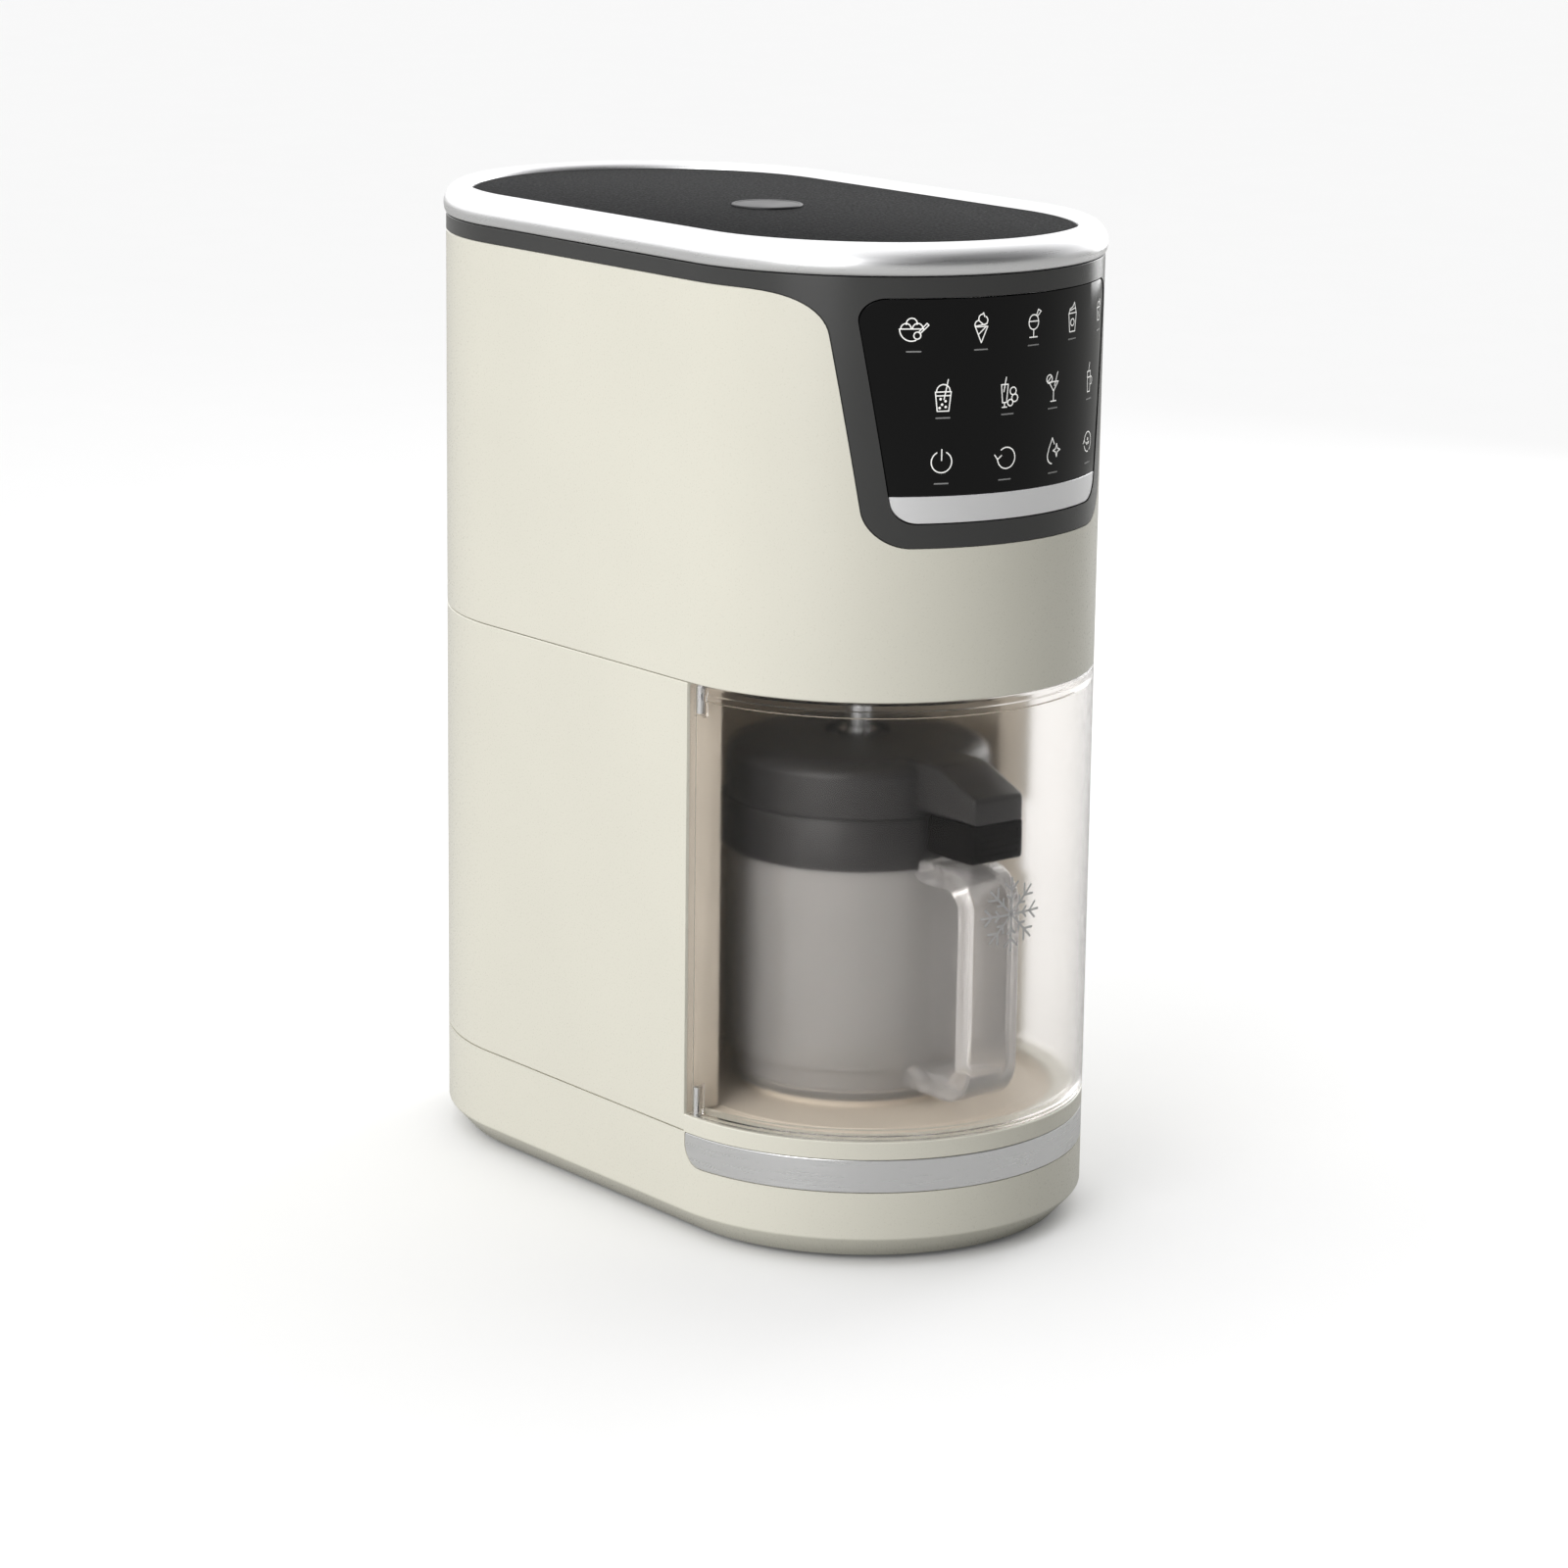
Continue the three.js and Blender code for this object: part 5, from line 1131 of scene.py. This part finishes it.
# ------------------------------------------------------------------ the CAD pieces that stay
SLOT_MATERIAL = {
    "cream_plastic": cream,
    "silver_trim": silver,
    "gunmetal_plastic": gunmetal,
    "gloss_black": gloss,
    "textured_black": grain_black,
    "rubber": rubber,
    "beige_plastic": beige,
    "smoked_clear": door_clear,
    "smoked_bowl": bowl_clear,
    "grey_plastic": pot_grey,
    "dark_plastic": dark,
    "black_plastic": black,
    "white_plastic": white,
    "steel": steel,
    "cast_aluminium": cast,
    "brass": brass,
    "copper_core": copper,
    "circuit_board": circuit,
}
for part in frame["record"]["subparts"]:
    obj = frame["nodes"][part["node"]]
    for slot in obj.material_slots:
        slot.material = SLOT_MATERIAL[part["material_slot"]]


# ------------------------------------------------------------------ floor, light and camera
def stage():
    """A white floor, whose bounce onto the machine is that of a mid grey one."""
    bm = bmesh.new()
    size = 30.0
    corners = [(-size, -size, 0), (size, -size, 0), (size, size, 0), (-size, size, 0)]
    bm.faces.new([bm.verts.new(c) for c in corners])
    floor = new_object("floor", bm)
    mat = surface("pale_floor", (0.84, 0.84, 0.84), 0.8, bump=0.0, vary=0.003, Emission_Strength=0.05)
    tree = mat.node_tree
    seen = tree.nodes["Principled BSDF"]
    seen.inputs["Emission Color"].default_value = (1, 1, 1, 1)
    bounce = node(tree, "ShaderNodeBsdfDiffuse")
    bounce.inputs["Color"].default_value = (0.4, 0.4, 0.39, 1)
    path = node(tree, "ShaderNodeLightPath")
    direct = node(tree, "ShaderNodeMath", operation="MAXIMUM")
    tree.links.new(path.outputs["Is Camera Ray"], direct.inputs[0])
    tree.links.new(path.outputs["Is Transmission Ray"], direct.inputs[1])
    mix = node(tree, "ShaderNodeMixShader")
    tree.links.new(direct.outputs["Value"], mix.inputs["Fac"])
    tree.links.new(bounce.outputs["BSDF"], mix.inputs[1])
    tree.links.new(seen.outputs["BSDF"], mix.inputs[2])
    tree.links.new(mix.outputs["Shader"], tree.nodes["Material Output"].inputs["Surface"])
    floor.data.materials.append(mat)


def area_light(name, place_at, aim, size, power, color=(1, 1, 1)):
    data = bpy.data.lights.new(name, "AREA")
    data.shape = "RECTANGLE"
    data.size, data.size_y = size
    data.energy = power
    data.color = color
    light = bpy.data.objects.new(name, data)
    light.location = place_at
    light.rotation_euler = (Vector(aim) - Vector(place_at)).to_track_quat("-Z", "Y").to_euler()
    bpy.context.scene.collection.objects.link(light)


def lights():
    """A white studio that is darker to the right of the front, with a soft key from the left."""
    world = bpy.data.worlds.new("studio")
    world.use_nodes = True
    tree = world.node_tree
    background = tree.nodes["Background"]
    source = node(tree, "ShaderNodeTexCoord")
    mapping = node(tree, "ShaderNodeMapping", vector_type="POINT")
    mapping.inputs["Rotation"].default_value = (0, 0, math.radians(80))
    tree.links.new(source.outputs["Generated"], mapping.inputs["Vector"])
    split = node(tree, "ShaderNodeSeparateXYZ")
    tree.links.new(mapping.outputs["Vector"], split.inputs["Vector"])
    ramp = node(tree, "ShaderNodeMapRange", interpolation_type="SMOOTHSTEP")
    ramp.inputs["From Min"].default_value = 0.0
    ramp.inputs["From Max"].default_value = 0.95
    ramp.inputs["To Min"].default_value = 1.3
    ramp.inputs["To Max"].default_value = 0.05
    tree.links.new(split.outputs["X"], ramp.inputs["Value"])
    tree.links.new(ramp.outputs["Result"], background.inputs["Strength"])
    background.inputs["Color"].default_value = (1.0, 1.0, 1.0, 1.0)
    bpy.context.scene.world = world
    area_light("key", (-1.7, -0.7, 0.8), (0, 0, 0.18), (1.0, 1.2), 13.0)
    area_light("side", (1.5, 0.4, 0.7), (0, 0, 0.18), (0.6, 1.2), 6.5)


CAMERA_TURN = math.radians(-38.73)
CAMERA_RISE = math.radians(13.55)
CAMERA_ROLL = math.radians(0.75)
CAMERA_DISTANCE = 1.90094
CAMERA_LENS = 109.70
CAMERA_SENSOR = 36.0
CAMERA_AIM = Vector((0.01198, 0.0, 0.15155))


def camera():
    a, e = CAMERA_TURN, CAMERA_RISE
    back = Vector((math.sin(a) * math.cos(e), -math.cos(a) * math.cos(e), math.sin(e)))
    side = Vector((math.cos(a), math.sin(a), 0))
    up = back.cross(side)
    right = side * math.cos(CAMERA_ROLL) + up * math.sin(CAMERA_ROLL)
    rise = up * math.cos(CAMERA_ROLL) - side * math.sin(CAMERA_ROLL)
    data = bpy.data.cameras.new("camera")
    data.sensor_width = CAMERA_SENSOR
    data.lens = CAMERA_LENS
    eye = bpy.data.objects.new("camera", data)
    place_at = CAMERA_AIM + back * CAMERA_DISTANCE
    turn = Matrix((right, rise, back)).transposed().to_4x4()
    eye.matrix_world = Matrix.Translation(place_at) @ turn
    bpy.context.scene.collection.objects.link(eye)
    bpy.context.scene.camera = eye


stage()
lights()
camera()
bpy.context.scene.view_settings.view_transform = "Standard"
